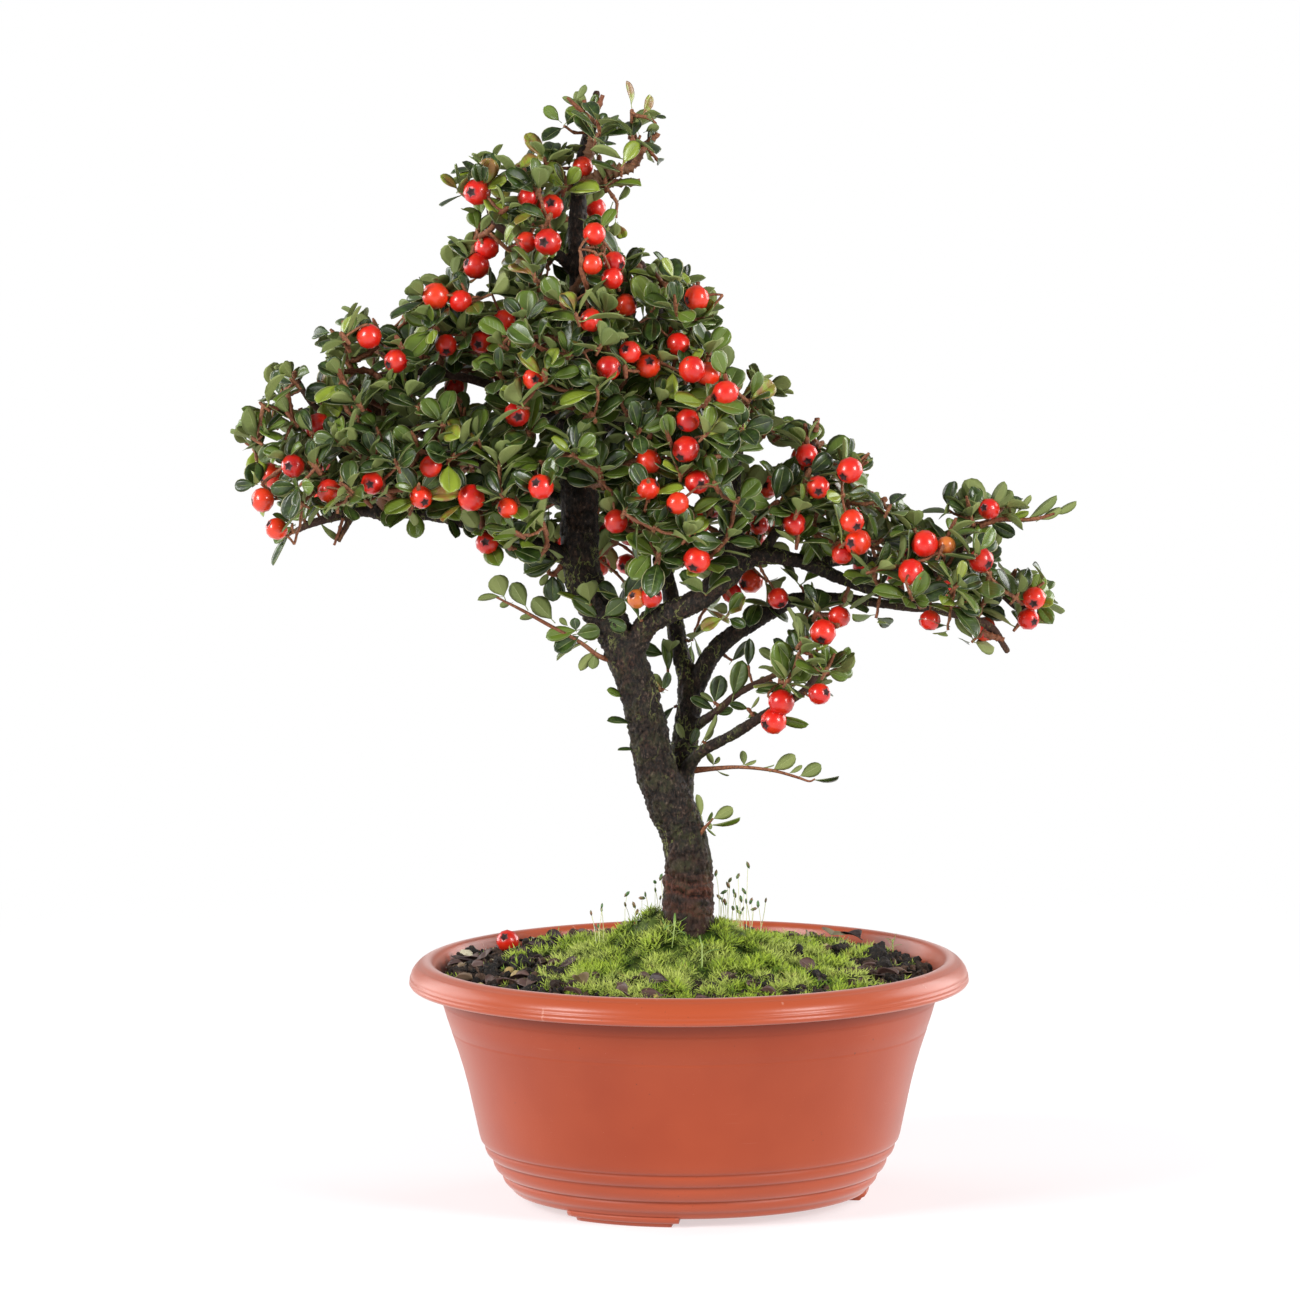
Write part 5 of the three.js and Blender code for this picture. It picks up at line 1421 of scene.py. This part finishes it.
# Stalks of the moss as they are seen: across, top and foot, in pixels of the frame
STALKS_SEEN = [
    (627, 894, 924), (634, 905, 922), (642, 898, 922), (649, 910, 925), (655, 882, 921), (661, 877, 918),
    (716, 873, 920), (719, 897, 922), (724, 892, 921), (728, 885, 922), (730, 880, 921), (735, 895, 924),
    (738, 876, 922), (741, 899, 924), (744, 891, 923), (748, 865, 923), (751, 901, 925), (754, 909, 926),
    (758, 904, 926), (725, 902, 923), (733, 908, 924), (739, 912, 925), (712, 888, 919), (637, 912, 925),
]


def make_moss_stalks():
    """Thin stalks with capsules, which stand over the moss round the trunk."""
    rng = np.random.default_rng(16)
    lines = []
    spots = []
    capsule = [lump_form(80, 1, 0.1)]
    for px, top, foot in STALKS_SEEN:
        base = on_ground(px + rng.uniform(-3, 3), foot, -1)
        base[1] += rng.uniform(-4, 10)
        tip = at_depth(px, top, base[1])
        bend = np.array([rng.uniform(-1, 1), rng.uniform(-1, 1), 0])
        shares = np.linspace(0, 1, 6)[:, None]
        points = base + (tip - base) * shares + bend * 4 * shares * (1 - shares)
        lines.append((points, np.linspace(0.12, 0.09, 6)))
        lean = unit(unit(tip - base) + rng.normal(size=3) * 0.7)
        size = np.array([0.65, 0.65, 1.4]) * MM
        spots.append({"place": tip, "turn": turn_up(lean, 0), "size": size, "tone": 1})
    for _ in range(LITTER["stalks"]):
        turn = rng.uniform(0, 2 * math.pi)
        radius = rng.uniform(11, 34)
        x, y = radius * math.cos(turn), radius * math.sin(turn)
        if y < 4 and abs(x) < 30:
            continue
        base = np.array([x, y, float(moss_height(x, y)) - 1])
        tip = base + (rng.normal() * 2, rng.normal() * 2, rng.uniform(6, 14))
        shares = np.linspace(0, 1, 5)[:, None]
        lines.append((base + (tip - base) * shares + (1.5, 1, 0) * shares * (1 - shares), np.full(5, 0.12)))
        size = np.array([0.45, 0.45, 1]) * MM
        spots.append({"place": tip, "turn": turn_up(tip - base, 0), "size": size, "tone": 1})
    paint = stalk_paint()
    stalks = tubes("moss_stalks", lines, 4, paint)
    keep(stalks.data, "tone", np.zeros(len(stalks.data.vertices)))
    settled(stalks, "moss")
    settled(copies("moss_capsules", spots, capsule, paint), "moss")


# Seedlings: pixel of the frame, number of blades and height
SEEDLINGS_SEEN = [(672, 948, 6, 9), (702, 968, 4, 8), (893, 950, 6, 5), (560, 932, 5, 4)]


def make_seedlings():
    """The four seedlings that came up in the moss."""
    rng = np.random.default_rng(17)
    forms = [leaf_form(0.6, 0.6, 0, 0.2), leaf_form(0.6, -0.3, 0, 0.16)]
    spots = []
    lines = []
    for px, py, blades, tall in SEEDLINGS_SEEN:
        base = on_ground(px, py)
        tip = base + (rng.normal(), rng.normal(), tall)
        lines.append((np.linspace(base, tip, 4), np.full(4, 0.22)))
        for i in range(blades):
            turn = 2.4 * i + rng.random()
            ahead = (math.cos(turn), math.sin(turn), rng.uniform(0.3, 1.5))
            place = base + (tip - base) * (0.4 + 0.6 * i / blades)
            spots.append({"place": place, "turn": turn_to(ahead, (0, 0, 1)), "kind": i % 2,
                          "size": np.full(3, rng.uniform(0.45, 0.9) * tall * MM)})
    paint = grass_paint()
    settled(copies("seedling_leaves", spots, forms, paint), "leaves")
    stems = tubes("seedling_stems", lines, 5, paint)
    for name in ("along", "across"):
        keep(stems.data, name, np.zeros(len(stems.data.vertices)))
    settled(stems, "leaves")


# The wood
# Ring scars round the foot of the trunk, as height, push and width
SCARS = [
    (107, 1.1, 0.9), (104.8, -1.5, 0.7), (109.2, -0.8, 0.5), (111, 0.4, 0.7), (100.5, 0.4, 0.8),
    (98.4, -0.8, 0.5),
]
# The fissures of the bark: how fine they are round a limb and along it, and how wide
FISSURES = {"round": 0.55, "along": 0.19, "wide": 0.36}
SCARRED_BELOW = 125
WOOD_VOXEL = 0.67


def line_through(route, per_span):
    """The smooth line through a route's points, as points and radii."""
    route = np.array(route, float)
    whole = np.vstack([2 * route[0] - route[1], route, 2 * route[-1] - route[-2]])
    points = []
    radii = []
    for i in range(len(route) - 1):
        before, start, end, after = whole[i:i + 4, :3]
        out = (end - before) / 2
        home = (after - start) / 2
        for t in np.arange(per_span) / per_span:
            points.append((2 * start - 2 * end + out + home) * t ** 3
                          + (3 * end - 3 * start - 2 * out - home) * t ** 2 + out * t + start)
            radii.append(route[i, 3] + (route[i + 1, 3] - route[i, 3]) * t)
    points.append(route[-1, :3])
    radii.append(route[-1, 3])
    return np.array(points), np.array(radii)


def limb_samples():
    """Points along all limbs with their tangent, radius and length along the limb, and a finder for them."""
    samples = []
    for number, route in enumerate(LIMBS):
        points, radii = line_through(route, 8)
        steps = np.linalg.norm(np.diff(points, axis=0, prepend=points[:1]), axis=1).cumsum()
        tangents = unit(np.gradient(points, axis=0))
        samples.extend(zip(points, tangents, radii, steps + 90 * number))
    finder = kdtree.KDTree(len(samples))
    for i, sample in enumerate(samples):
        finder.insert(sample[0], i)
    finder.balance()
    return samples, finder


def ring_scars(place):
    """How the ring scars round the foot of the trunk push the skin, darken its cracks and mark it."""
    push = 0.0
    dark = 1.0
    mark = 0.0
    level = place[2] + 0.12 * place[0] + 1.6 * noise.noise(Vector(place) * 0.2)
    for height, depth, wide in SCARS:
        bump = math.exp(-((level - height) / wide) ** 2)
        worn = max(0, 0.55 + 1.3 * noise.noise(Vector(place) * 0.13 + Vector((height, 0, 0))))
        push += depth * bump * worn
        dark *= 1 + min(0, depth) * 0.6 * bump * worn
        mark = min(1, mark + abs(depth) * bump)
    return push, dark, mark


def bark_relief(wood):
    """Fissures, knobs and scars, cut into the fused wood."""
    samples, finder = limb_samples()
    places = vectors_of(wood.data.vertices, "co") / MM - (BOWL_X, BOWL_Y, 0)
    normals = vectors_of(wood.data.vertex_normals, "vector")
    cracks, thick, pushes, scars = np.zeros((4, len(places)))
    for i, place in enumerate(places):
        point, tangent, radius, step = samples[finder.find(place)[1]]
        away = place - point
        along = float(away @ tangent)
        away = unit(away - along * tangent) * max(radius, 1.2)
        spot = Vector(away) * FISSURES["round"] + Vector(tangent) * (FISSURES["along"] * (step + along))
        ridge = abs(noise.noise(spot)) + 0.5 * abs(noise.noise(spot * 2.3))
        cracks[i] = min(1, ridge / FISSURES["wide"])
        thick[i] = radius
        knob = 0.8 * noise.noise(Vector(place) * 0.11 + Vector((3, 1, 7)))
        fine = 0.6 * noise.noise(Vector(place) * 0.9)
        strength = min(1, max(0.12, (radius - 0.9) / 4))
        pushes[i] = strength * (0.1 + 1.1 * (cracks[i] - 0.62) + knob + fine)
        if place[2] < SCARRED_BELOW:
            push, dark, scars[i] = ring_scars(place)
            pushes[i] += push
            cracks[i] *= dark
    wood.data.vertices.foreach_set("co", in_metres(places + normals * pushes[:, None]).ravel())
    wood.data.update()
    for name, values in (("crack", cracks), ("thick", thick), ("scar", scars)):
        keep(wood.data, name, values)


def make_wood():
    paint = bark_paint()
    rough = tubes("limbs", [line_through(route, 5) for route in LIMBS], 16, paint)
    fuse = rough.modifiers.new("fuse", "REMESH")
    fuse.mode = "VOXEL"
    fuse.voxel_size = WOOD_VOXEL * MM
    soften = rough.modifiers.new("soften", "SMOOTH")
    soften.factor = 0.5
    soften.iterations = 3
    wood = in_scene("wood", finished_mesh(rough))
    bpy.data.objects.remove(rough)
    for attribute in [a for a in wood.data.attributes if a.name == "thick"]:
        wood.data.attributes.remove(attribute)
    bark_relief(wood)
    shade(wood, paint)
    settled(wood, "bark", "trunk_and_branches")


# The crown
def sprays():
    """The sprays as part of the crown, heart and reach."""
    return [(part, np.array(heart, float), np.array(reach, float))
            for part, members in SPRAYS.items() for heart, reach in members.values()]


def limb_nodes():
    """The points and radii of all limbs."""
    lines = [line_through(route, 6) for route in LIMBS]
    return np.vstack([points for points, _ in lines]), np.concatenate([radii for _, radii in lines])


def part_of(place):
    """The part of the crown that a place belongs to."""
    return min(sprays(), key=lambda s: np.linalg.norm((place - s[1]) / s[2]))[0]


def seen_on_plane(px, py):
    """Where a pixel of the frame lies in the plane through the bowl's axis, as [x, z]."""
    return at_depth(px, py, 0)[[0, 2]]


def clear_view(places, margin=0.7):
    """Whether places, seen from the front, lie clear of the gaps and of the bare trunk."""
    places = np.asarray(places, float)
    seen = on_plane(places)
    good = np.ones(len(places), bool)
    gaps = [(px, py, min(size, LARGEST_GAP), margin) for px, py, size in GAPS_SEEN]
    bites = [(px, py, size, margin / 2) for px, py, size in EDGE_BITES]
    for px, py, size, room in gaps + bites:
        away = np.linalg.norm(seen - seen_on_plane(px, py), axis=1)
        good &= away > size / PIXELS_PER_MM + room
    for left, right, low, high in BARE_STRETCHES:
        x, z = seen.T
        good &= ~((x > left) & (x < right) & (z > low) & (z < high) & (places[:, 1] < 2))
    return good


def rosette_places(rng, wood_points, wood_radii):
    """Evenly spread places inside the sprays, clear of the wood and inside the outline of the crown."""
    kept = []
    candidates = []
    for part, heart, reach in sprays():
        count = int(reach.prod() / ROSETTES["room"])
        ball = unit(rng.normal(size=(count, 3))) * rng.uniform(0.15, 1, (count, 1)) ** (1 / 2.6)
        candidates += [(heart + offset * reach * 1.04, part) for offset in ball]
    order = rng.permutation(len(candidates))
    places = np.array([candidates[i][0] for i in order])
    parts = [candidates[i][1] for i in order]
    depth = depth_inside(on_plane(places), CROWN_OUTLINE)
    clear = clear_view(places, ROSETTES["clear"])
    for place, part, inside, open_view in zip(places, parts, depth, clear):
        if inside < ROSETTES["inside"] or not open_view:
            continue
        if (np.linalg.norm(wood_points - place, axis=1) - wood_radii).min() < ROSETTES["off_wood"]:
            continue
        others = np.array([k[0] for k in kept])
        if kept and np.linalg.norm(others - place, axis=1).min() < ROSETTES["apart"]:
            continue
        kept.append((place, part))
    return kept


def knobbly(points, radii):
    """A twig's line with its nodes: it thickens at each bud scar and bends a little there."""
    shares = np.linspace(0, len(points) - 1, 4 * (len(points) - 1) + 1)
    line = np.stack([np.interp(shares, range(len(points)), points[:, axis]) for axis in range(3)], -1)
    widths = np.interp(shares, range(len(points)), radii)
    for i in range(1, len(line) - 1):
        bend = noise.noise_vector(Vector(line[i]) * 0.35)
        line[i] += np.array(bend) * 0.45
        widths[i] *= (1.28 if i % 4 == 0 else 0.92) + 0.12 * bend[0]
    return line, widths


class Growth:
    """Twigs that grow from the limbs, each from the nearest wood, and thicken with what they carry."""

    def __init__(self, points, radii):
        self.points = list(points)
        self.limits = list(radii)
        self.parents = [-1] * len(points)
        self.loads = [0.0] * len(points)
        self.lines = []

    def nearest(self, place):
        distance = np.linalg.norm(np.array(self.points) - place, axis=1)
        return int(distance.argmin())

    def reach(self, place, rng, rise=0.06):
        """Grows a twig to a place and gives the numbers of its points."""
        start = self.nearest(place)
        origin = self.points[start]
        length = np.linalg.norm(place - origin)
        steps = max(2, int(length / TWIGS["step"]))
        bow = np.array([0, 0, -rise * length]) + rng.normal(size=3) * 0.045 * length
        chain = [start]
        for i in range(1, steps + 1):
            share = i / steps
            point = origin + (place - origin) * share + bow * 4 * share * (1 - share)
            self.points.append(point)
            self.limits.append(TWIGS["thickest"])
            self.parents.append(chain[-1])
            self.loads.append(0.0)
            chain.append(len(self.points) - 1)
        self.lines.append(chain)
        self.carry(chain[-1], 1.0)
        return chain

    def direction(self, chain):
        """The way in which the last stretch of a twig points."""
        return unit(self.points[chain[-1]] - self.points[chain[-2]])

    def carry(self, number, load):
        while number >= 0:
            self.loads[number] += load
            number = self.parents[number]

    def radius(self, number):
        load = max(1.0, self.loads[number])
        return min(self.limits[number], TWIGS["finest"] * load ** TWIGS["thickening"])

    def tubes(self):
        lines = []
        for chain in self.lines:
            radii = [self.radius(n) for n in chain]
            radii[0] = min(radii[0], radii[1] * 1.25)
            lines.append(knobbly(np.array([self.points[n] for n in chain]), np.array(radii)))
        return lines


def leaf_spot(place, ahead, facing, length, rng, part, wide=1.0):
    return {"place": place, "turn": turn_to(ahead, facing), "size": np.array([wide, 1, 1]) * length * MM,
            "kind": int(rng.integers(4)), "tone": rng.random(), "part": part, "reach": unit(ahead) * length}


def perpendicular(axis, turn):
    level = unit(np.cross(axis, (0.13, 0.21, 1)))
    other = np.cross(axis, level)
    return level * math.cos(turn) + other * math.sin(turn)


def rosette(place, axis, outward, rng, part, count, size=1.0):
    """Leaves round the end of a spur, the outer ones larger and wider spread."""
    leaves = []
    start = rng.uniform(0, 6)
    for i in range(count):
        share = i / (count - 1)
        turn = start + 2.4 * i
        tilt = math.radians(76 - 46 * share + rng.normal() * 13)
        out = perpendicular(axis, turn)
        ahead = axis * math.cos(tilt) + out * math.sin(tilt) + rng.normal(size=3) * 0.12
        facing = axis * math.sin(tilt) - out * math.cos(tilt) + rng.normal(size=3) * 0.3
        facing = facing + 0.15 * outward + (0, 0, 0.2)
        length = (12.2 - 4 * share) * rng.uniform(0.78, 1.1) * size
        root = place + axis * (2.6 * share - 1.4) + ahead * 1.6
        leaves.append(leaf_spot(root, ahead, facing, length, rng, part, rng.uniform(0.85, 1.1)))
    return leaves


def seen_leaf(px, py, tip_px, tip_py, wide, turn, y, rng, part):
    """A leaf from one pixel of the frame to another, its foot in the upright plane at y."""
    ends = [at_depth(px, py, y), at_depth(tip_px, tip_py, y)]
    ahead = ends[1] - ends[0]
    length = float(np.linalg.norm(ahead))
    view = unit(camera_place() - ends[0])
    side = np.cross(unit(ahead), view)
    facing = view * math.cos(math.radians(turn)) + side * math.sin(math.radians(turn))
    ahead = ahead + facing * (0.12 * length)
    return leaf_spot(ends[0], ahead, facing, length * 1.02, rng, part, wide)


def shoot_leaves(name, rng):
    """The leaves of a slender shoot, each with its foot on the stem."""
    part, route = SHOOTS[name]
    line, _ = line_through(route, 8)
    seen = on_plane(line)
    leaves = []
    for px, py, tip_px, tip_py, wide, turn in SHOOT_LEAVES[name]:
        nearest = np.linalg.norm(seen - seen_on_plane(px, py), axis=1).argmin()
        leaves.append(seen_leaf(px, py, tip_px, tip_py, wide, turn, line[nearest, 1], rng, part))
    return leaves


def on_old_wood(px, py, growth, wood_count):
    """The place on the skin of the limb nearest to a pixel, and how far the pixel lies off that limb."""
    points = np.array(growth.points[:wood_count])
    radii = np.array(growth.limits[:wood_count])
    away = np.linalg.norm(on_plane(points) - seen_on_plane(px, py), axis=1)
    nearest = (away - radii + 0.03 * points[:, 1]).argmin()
    y = points[nearest, 1] - math.sqrt(max(0, radii[nearest] ** 2 - away[nearest] ** 2))
    return at_depth(px, py, y), away[nearest] - radii[nearest]


def old_wood_leaves(growth, wood_count, rng):
    """Single leaves on short stalks that stand on the limbs where they are seen."""
    leaves = []
    for px, py, tip_px, tip_py, wide, turn in OLD_WOOD_LEAVES:
        place, off = on_old_wood(px, py, growth, wood_count)
        if off > 0.8:
            growth.reach(place, rng, 0.02)
        leaves.append(seen_leaf(px, py, tip_px, tip_py, wide, turn, place[1], rng, part_of(place)))
    return leaves


def tuft_leaves(growth, rng):
    """Small tufts where leaves show at the edge of the crown and between its sprays."""
    leaves = []
    for px, py, depth, count, size in TUFTS:
        place = front_of_crown(px, py) if depth is None else at_depth(px, py, depth)
        axis = growth.direction(growth.reach(place, rng))
        axis = unit(axis + (0, -0.3, 0.5) + rng.normal(size=3) * 0.3)
        leaves += rosette(place, axis, axis, rng, part_of(place), count, size)
    tips = np.array([leaf["place"] + leaf["reach"] for leaf in leaves])
    inside = depth_inside(on_plane(tips), CROWN_OUTLINE) > -3.5
    return [leaf for leaf, kept in zip(leaves, inside) if kept]


def front_of_crown(px, py):
    """The first place inside the sprays along the camera's sight of a pixel."""
    walk = at_depth(px, py, np.arange(-72, 60, 1.0)[:, None])
    hearts = np.array([s[1] for s in sprays()])
    reaches = np.array([s[2] for s in sprays()])
    share = np.linalg.norm((walk[:, None] - hearts) / (reaches * 1.05), axis=2)
    inside = np.flatnonzero(share.min(1) < 1)
    return walk[inside[0]] if len(inside) else walk[share.min(1).argmin()]


def berry_spots(rng, rosettes):
    """Berries where they are seen, and then by rule round the back."""
    spots = []
    for px, py in BERRIES_SEEN + UNRIPE_BERRIES:
        place = front_of_crown(px, py)
        place = place + unit(place - camera_place()) * rng.uniform(1, 5)
        aim = unit(rng.normal(size=3) * 0.75 + (0, -0.6, -0.2))
        if (px, py) in UNRIPE_BERRIES:
            spots.append((place, aim, 1, 0.8))
        else:
            spots.append((place, aim, 0.85 * rng.random(), rng.uniform(0.84, 1.1)))
    back = [p for p, _ in rosettes if p[1] > 8]
    for i in rng.permutation(len(back))[:CLUSTERS_BEHIND]:
        middle = back[i] + (0, 4, -3)
        for _ in range(int(rng.integers(1, 4))):
            place = middle + rng.normal(size=3) * 5.5
            near = [s for s in spots if np.linalg.norm(s[0] - place) < BERRY_ROOM]
            inside = depth_inside(on_plane([place]), CROWN_OUTLINE)[0]
            if near or inside < 4 or not clear_view([place], 4.5)[0]:
                continue
            aim = rng.normal(size=3) * 0.8 + (0, 0.5, -0.3)
            spots.append((place, unit(aim), 0.85 * rng.random(), rng.uniform(0.88, 1.08)))
    return spots


def hides_berry(leaf, berry_places):
    """Whether a leaf stands right in front of a berry."""
    middle = leaf["place"] + leaf["reach"] * 0.5
    gap = np.linalg.norm(on_plane(berry_places) - on_plane(middle), axis=1)
    return bool(((gap < BERRY_RADIUS) & (middle[1] < berry_places[:, 1] + 1)).any())


def line_in_view(pixels, y):
    """Pixels of the frame with radii, as points and radii in an upright plane at y."""
    points = [(*at_depth(px, py, y), 0) for px, py, _ in pixels]
    line, _ = line_through(points, 3)
    shares = np.linspace(0, len(pixels) - 1, len(line))
    return line, np.interp(shares, range(len(pixels)), [p[2] for p in pixels])


def sprout_leaves(growth, wood_count, rng):
    """The few leaves that grow straight from the old wood."""
    leaves = []
    for px, py, count, (x, z) in SPROUTS:
        place, _ = on_old_wood(px, py, growth, wood_count)
        place = place + (0, -1.5, 0)
        growth.reach(place, rng, 0.02)
        way = unit((x, -0.35, z))
        for i in range(count):
            side = perpendicular(way, math.pi * i + 0.8 * rng.random())
            ahead = way + side * (0 if count == 1 else 0.95)
            facing = np.array([0, -0.5, 0.8]) + rng.normal(size=3) * 0.4
            size = rng.uniform(8, 9) if count == 1 else rng.uniform(9, 11.5)
            leaves.append(leaf_spot(place + unit(ahead) * 1.8, ahead, facing, size, rng, part_of(place)))
    return leaves


def twig_leaves(growth, chain, outward, rng, part):
    """Single leaves in pairs along a twig."""
    leaves = []
    for number in chain[1:-1]:
        point = growth.points[number]
        step = unit(point - growth.points[growth.parents[number]])
        turn = rng.uniform(0, 6.3)
        for half in (0, math.pi):
            if rng.random() < 0.5:
                ahead = step * 0.5 + perpendicular(step, turn + half) + (0, 0, 0.25)
                facing = np.array([0, 0, 0.8]) + 0.4 * outward + rng.normal(size=3) * 0.35
                size = rng.uniform(8.5, 11.5)
                leaves.append(leaf_spot(point + unit(ahead) * 1.6, ahead, facing, size, rng, part))
    return leaves


def rosettes_on_twigs(growth, places, rng):
    """A twig to each place with its rosette, its leaves and its bud, which now and then is a long tip."""
    leaves = []
    buds = []
    for place, part in places:
        chain = growth.reach(place, rng)
        outward = unit(place - (-25, 0, min(place[2] - 15, 250)))
        axis = 0.45 * growth.direction(chain) + 0.45 * outward + (0, 0, 0.65)
        axis = unit(axis + rng.normal(size=3) * 0.28)
        leaves += rosette(place, axis, outward, rng, part, int(rng.integers(4, 9)))
        tall = rng.uniform(5, 9) if rng.random() < 0.16 else rng.uniform(1, 3.2)
        wide = rng.uniform(0.65, 1.1)
        tip = place + axis * tall
        if depth_inside(on_plane([tip]), CROWN_OUTLINE)[0] > 0:
            bud = np.array([place - axis * 3, place, place + axis * tall * 0.6, tip])
            buds.append((bud, np.array([0.7, 1, 1, 0.6]) * wide))
        leaves += twig_leaves(growth, chain, outward, rng, part)
    return leaves, buds


def in_the_open(leaves, front_berries):
    """The leaves inside the outline that hide neither a gap nor a berry that is seen."""
    roots = np.array([leaf["place"] for leaf in leaves])
    reach = np.array([leaf["reach"] for leaf in leaves])
    good = depth_inside(on_plane(roots + reach), CROWN_OUTLINE) > -2
    for share in (0.3, 0.65, 0.95):
        good &= clear_view(roots + reach * share)
    return [leaf for leaf, kept in zip(leaves, good) if kept and not hides_berry(leaf, front_berries)]


def berry_stalk(growth, place, aim, size, rng):
    """A berry's stalk: it bends from the nearest wood to the berry's foot."""
    foot = place - aim * BERRY_RADIUS * size * 0.9
    nearest = growth.nearest(foot - aim * 4)
    if np.linalg.norm(growth.points[nearest] - foot) > 9:
        nearest = growth.reach(foot - aim * 5 + rng.normal(size=3), rng)[-1]
    start = growth.points[nearest]
    bend = foot - aim * 2.5
    shares = np.linspace(0, 1, 6)[:, None]
    curve = start * (1 - shares) ** 2 + 2 * bend * shares * (1 - shares) + foot * shares ** 2
    return curve, np.linspace(0.4, 0.5, 6)


def make_crown():
    """Makes the twigs, and gives the places of the leaves and berries that they carry."""
    rng = np.random.default_rng(21)
    wood_points, wood_radii = limb_nodes()
    growth = Growth(wood_points, wood_radii)
    places = rosette_places(rng, wood_points, wood_radii)
    inner_first = sorted(places, key=lambda p: np.linalg.norm(wood_points - p[0], axis=1).min())
    leaves, buds = rosettes_on_twigs(growth, inner_first, rng)
    berries = berry_spots(rng, places)
    seen_count = len(BERRIES_SEEN) + len(UNRIPE_BERRIES)
    leaves = in_the_open(leaves, np.array([place for place, *_ in berries[:seen_count]]))
    leaves += sprout_leaves(growth, len(wood_points), rng)
    leaves += old_wood_leaves(growth, len(wood_points), rng)
    leaves += tuft_leaves(growth, rng)
    lines = buds + [knobbly(*line_in_view(pixels, y)) for pixels, y in STUBS]
    for name in SHOOTS:
        leaves += shoot_leaves(name, rng)
        lines.append(line_through(SHOOTS[name][1], 5))
    lines += [berry_stalk(growth, place, aim, size, rng) for place, aim, _, size in berries]
    settled(tubes("twigs", growth.tubes() + lines, TWIGS["sides"], twig_paint()), "bark")
    return leaves, berries


def make_leaves(leaves):
    paint = leaf_paint()
    for part, members in SPRAYS.items():
        forms = [leaf_form(0.5, 0.1, 0, 1, 0.15), leaf_form(0.75, 0.2, 0, 0.94),
                 leaf_form(0.35, 0.05, 0.04, 1.1), leaf_form(0.6, -0.08, 0, 1.05, -0.2)]
        nodes = list(members) + [name for name, shoot in SHOOTS.items() if shoot[0] == part]
        spots = [leaf for leaf in leaves if leaf["part"] == part]
        settled(copies("leaves_" + part, spots, forms, paint), "leaves", *nodes)


def make_berries(berries):
    paint = berry_paint()
    rng = np.random.default_rng(23)
    spots = []
    for place, aim, tone, size in berries:
        radii = np.array([1, rng.uniform(0.95, 1.03), rng.uniform(0.92, 1.06)]) * BERRY_RADIUS * size
        turn = turn_up(aim, rng.uniform(0, 6))
        spots.append({"place": place, "turn": turn, "size": radii * MM, "tone": tone})
    settled(copies("berries", spots, [berry_form()], paint), "berries", *BERRY_SPRIGS)
    low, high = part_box("fallen_berry")
    middle = np.array((low + high) / 2) / MM - (BOWL_X, BOWL_Y, 0)
    fallen = [{"place": middle, "turn": turn_up((-0.3, -0.75, 0.5), 1), "size": np.full(3, 4 * MM)}]
    settled(copies("fallen_berry_skin", fallen, [berry_form()], paint), "berries", "fallen_berry")


make_camera()
make_studio()
make_bowl()
make_soil()
make_crumbs()
make_chips()
make_pebbles()
make_dead_leaves()
make_moss_cushion()
make_moss_plants()
make_moss_stalks()
make_seedlings()
make_wood()
crown_leaves, crown_berries = make_crown()
make_leaves(crown_leaves)
make_berries(crown_berries)
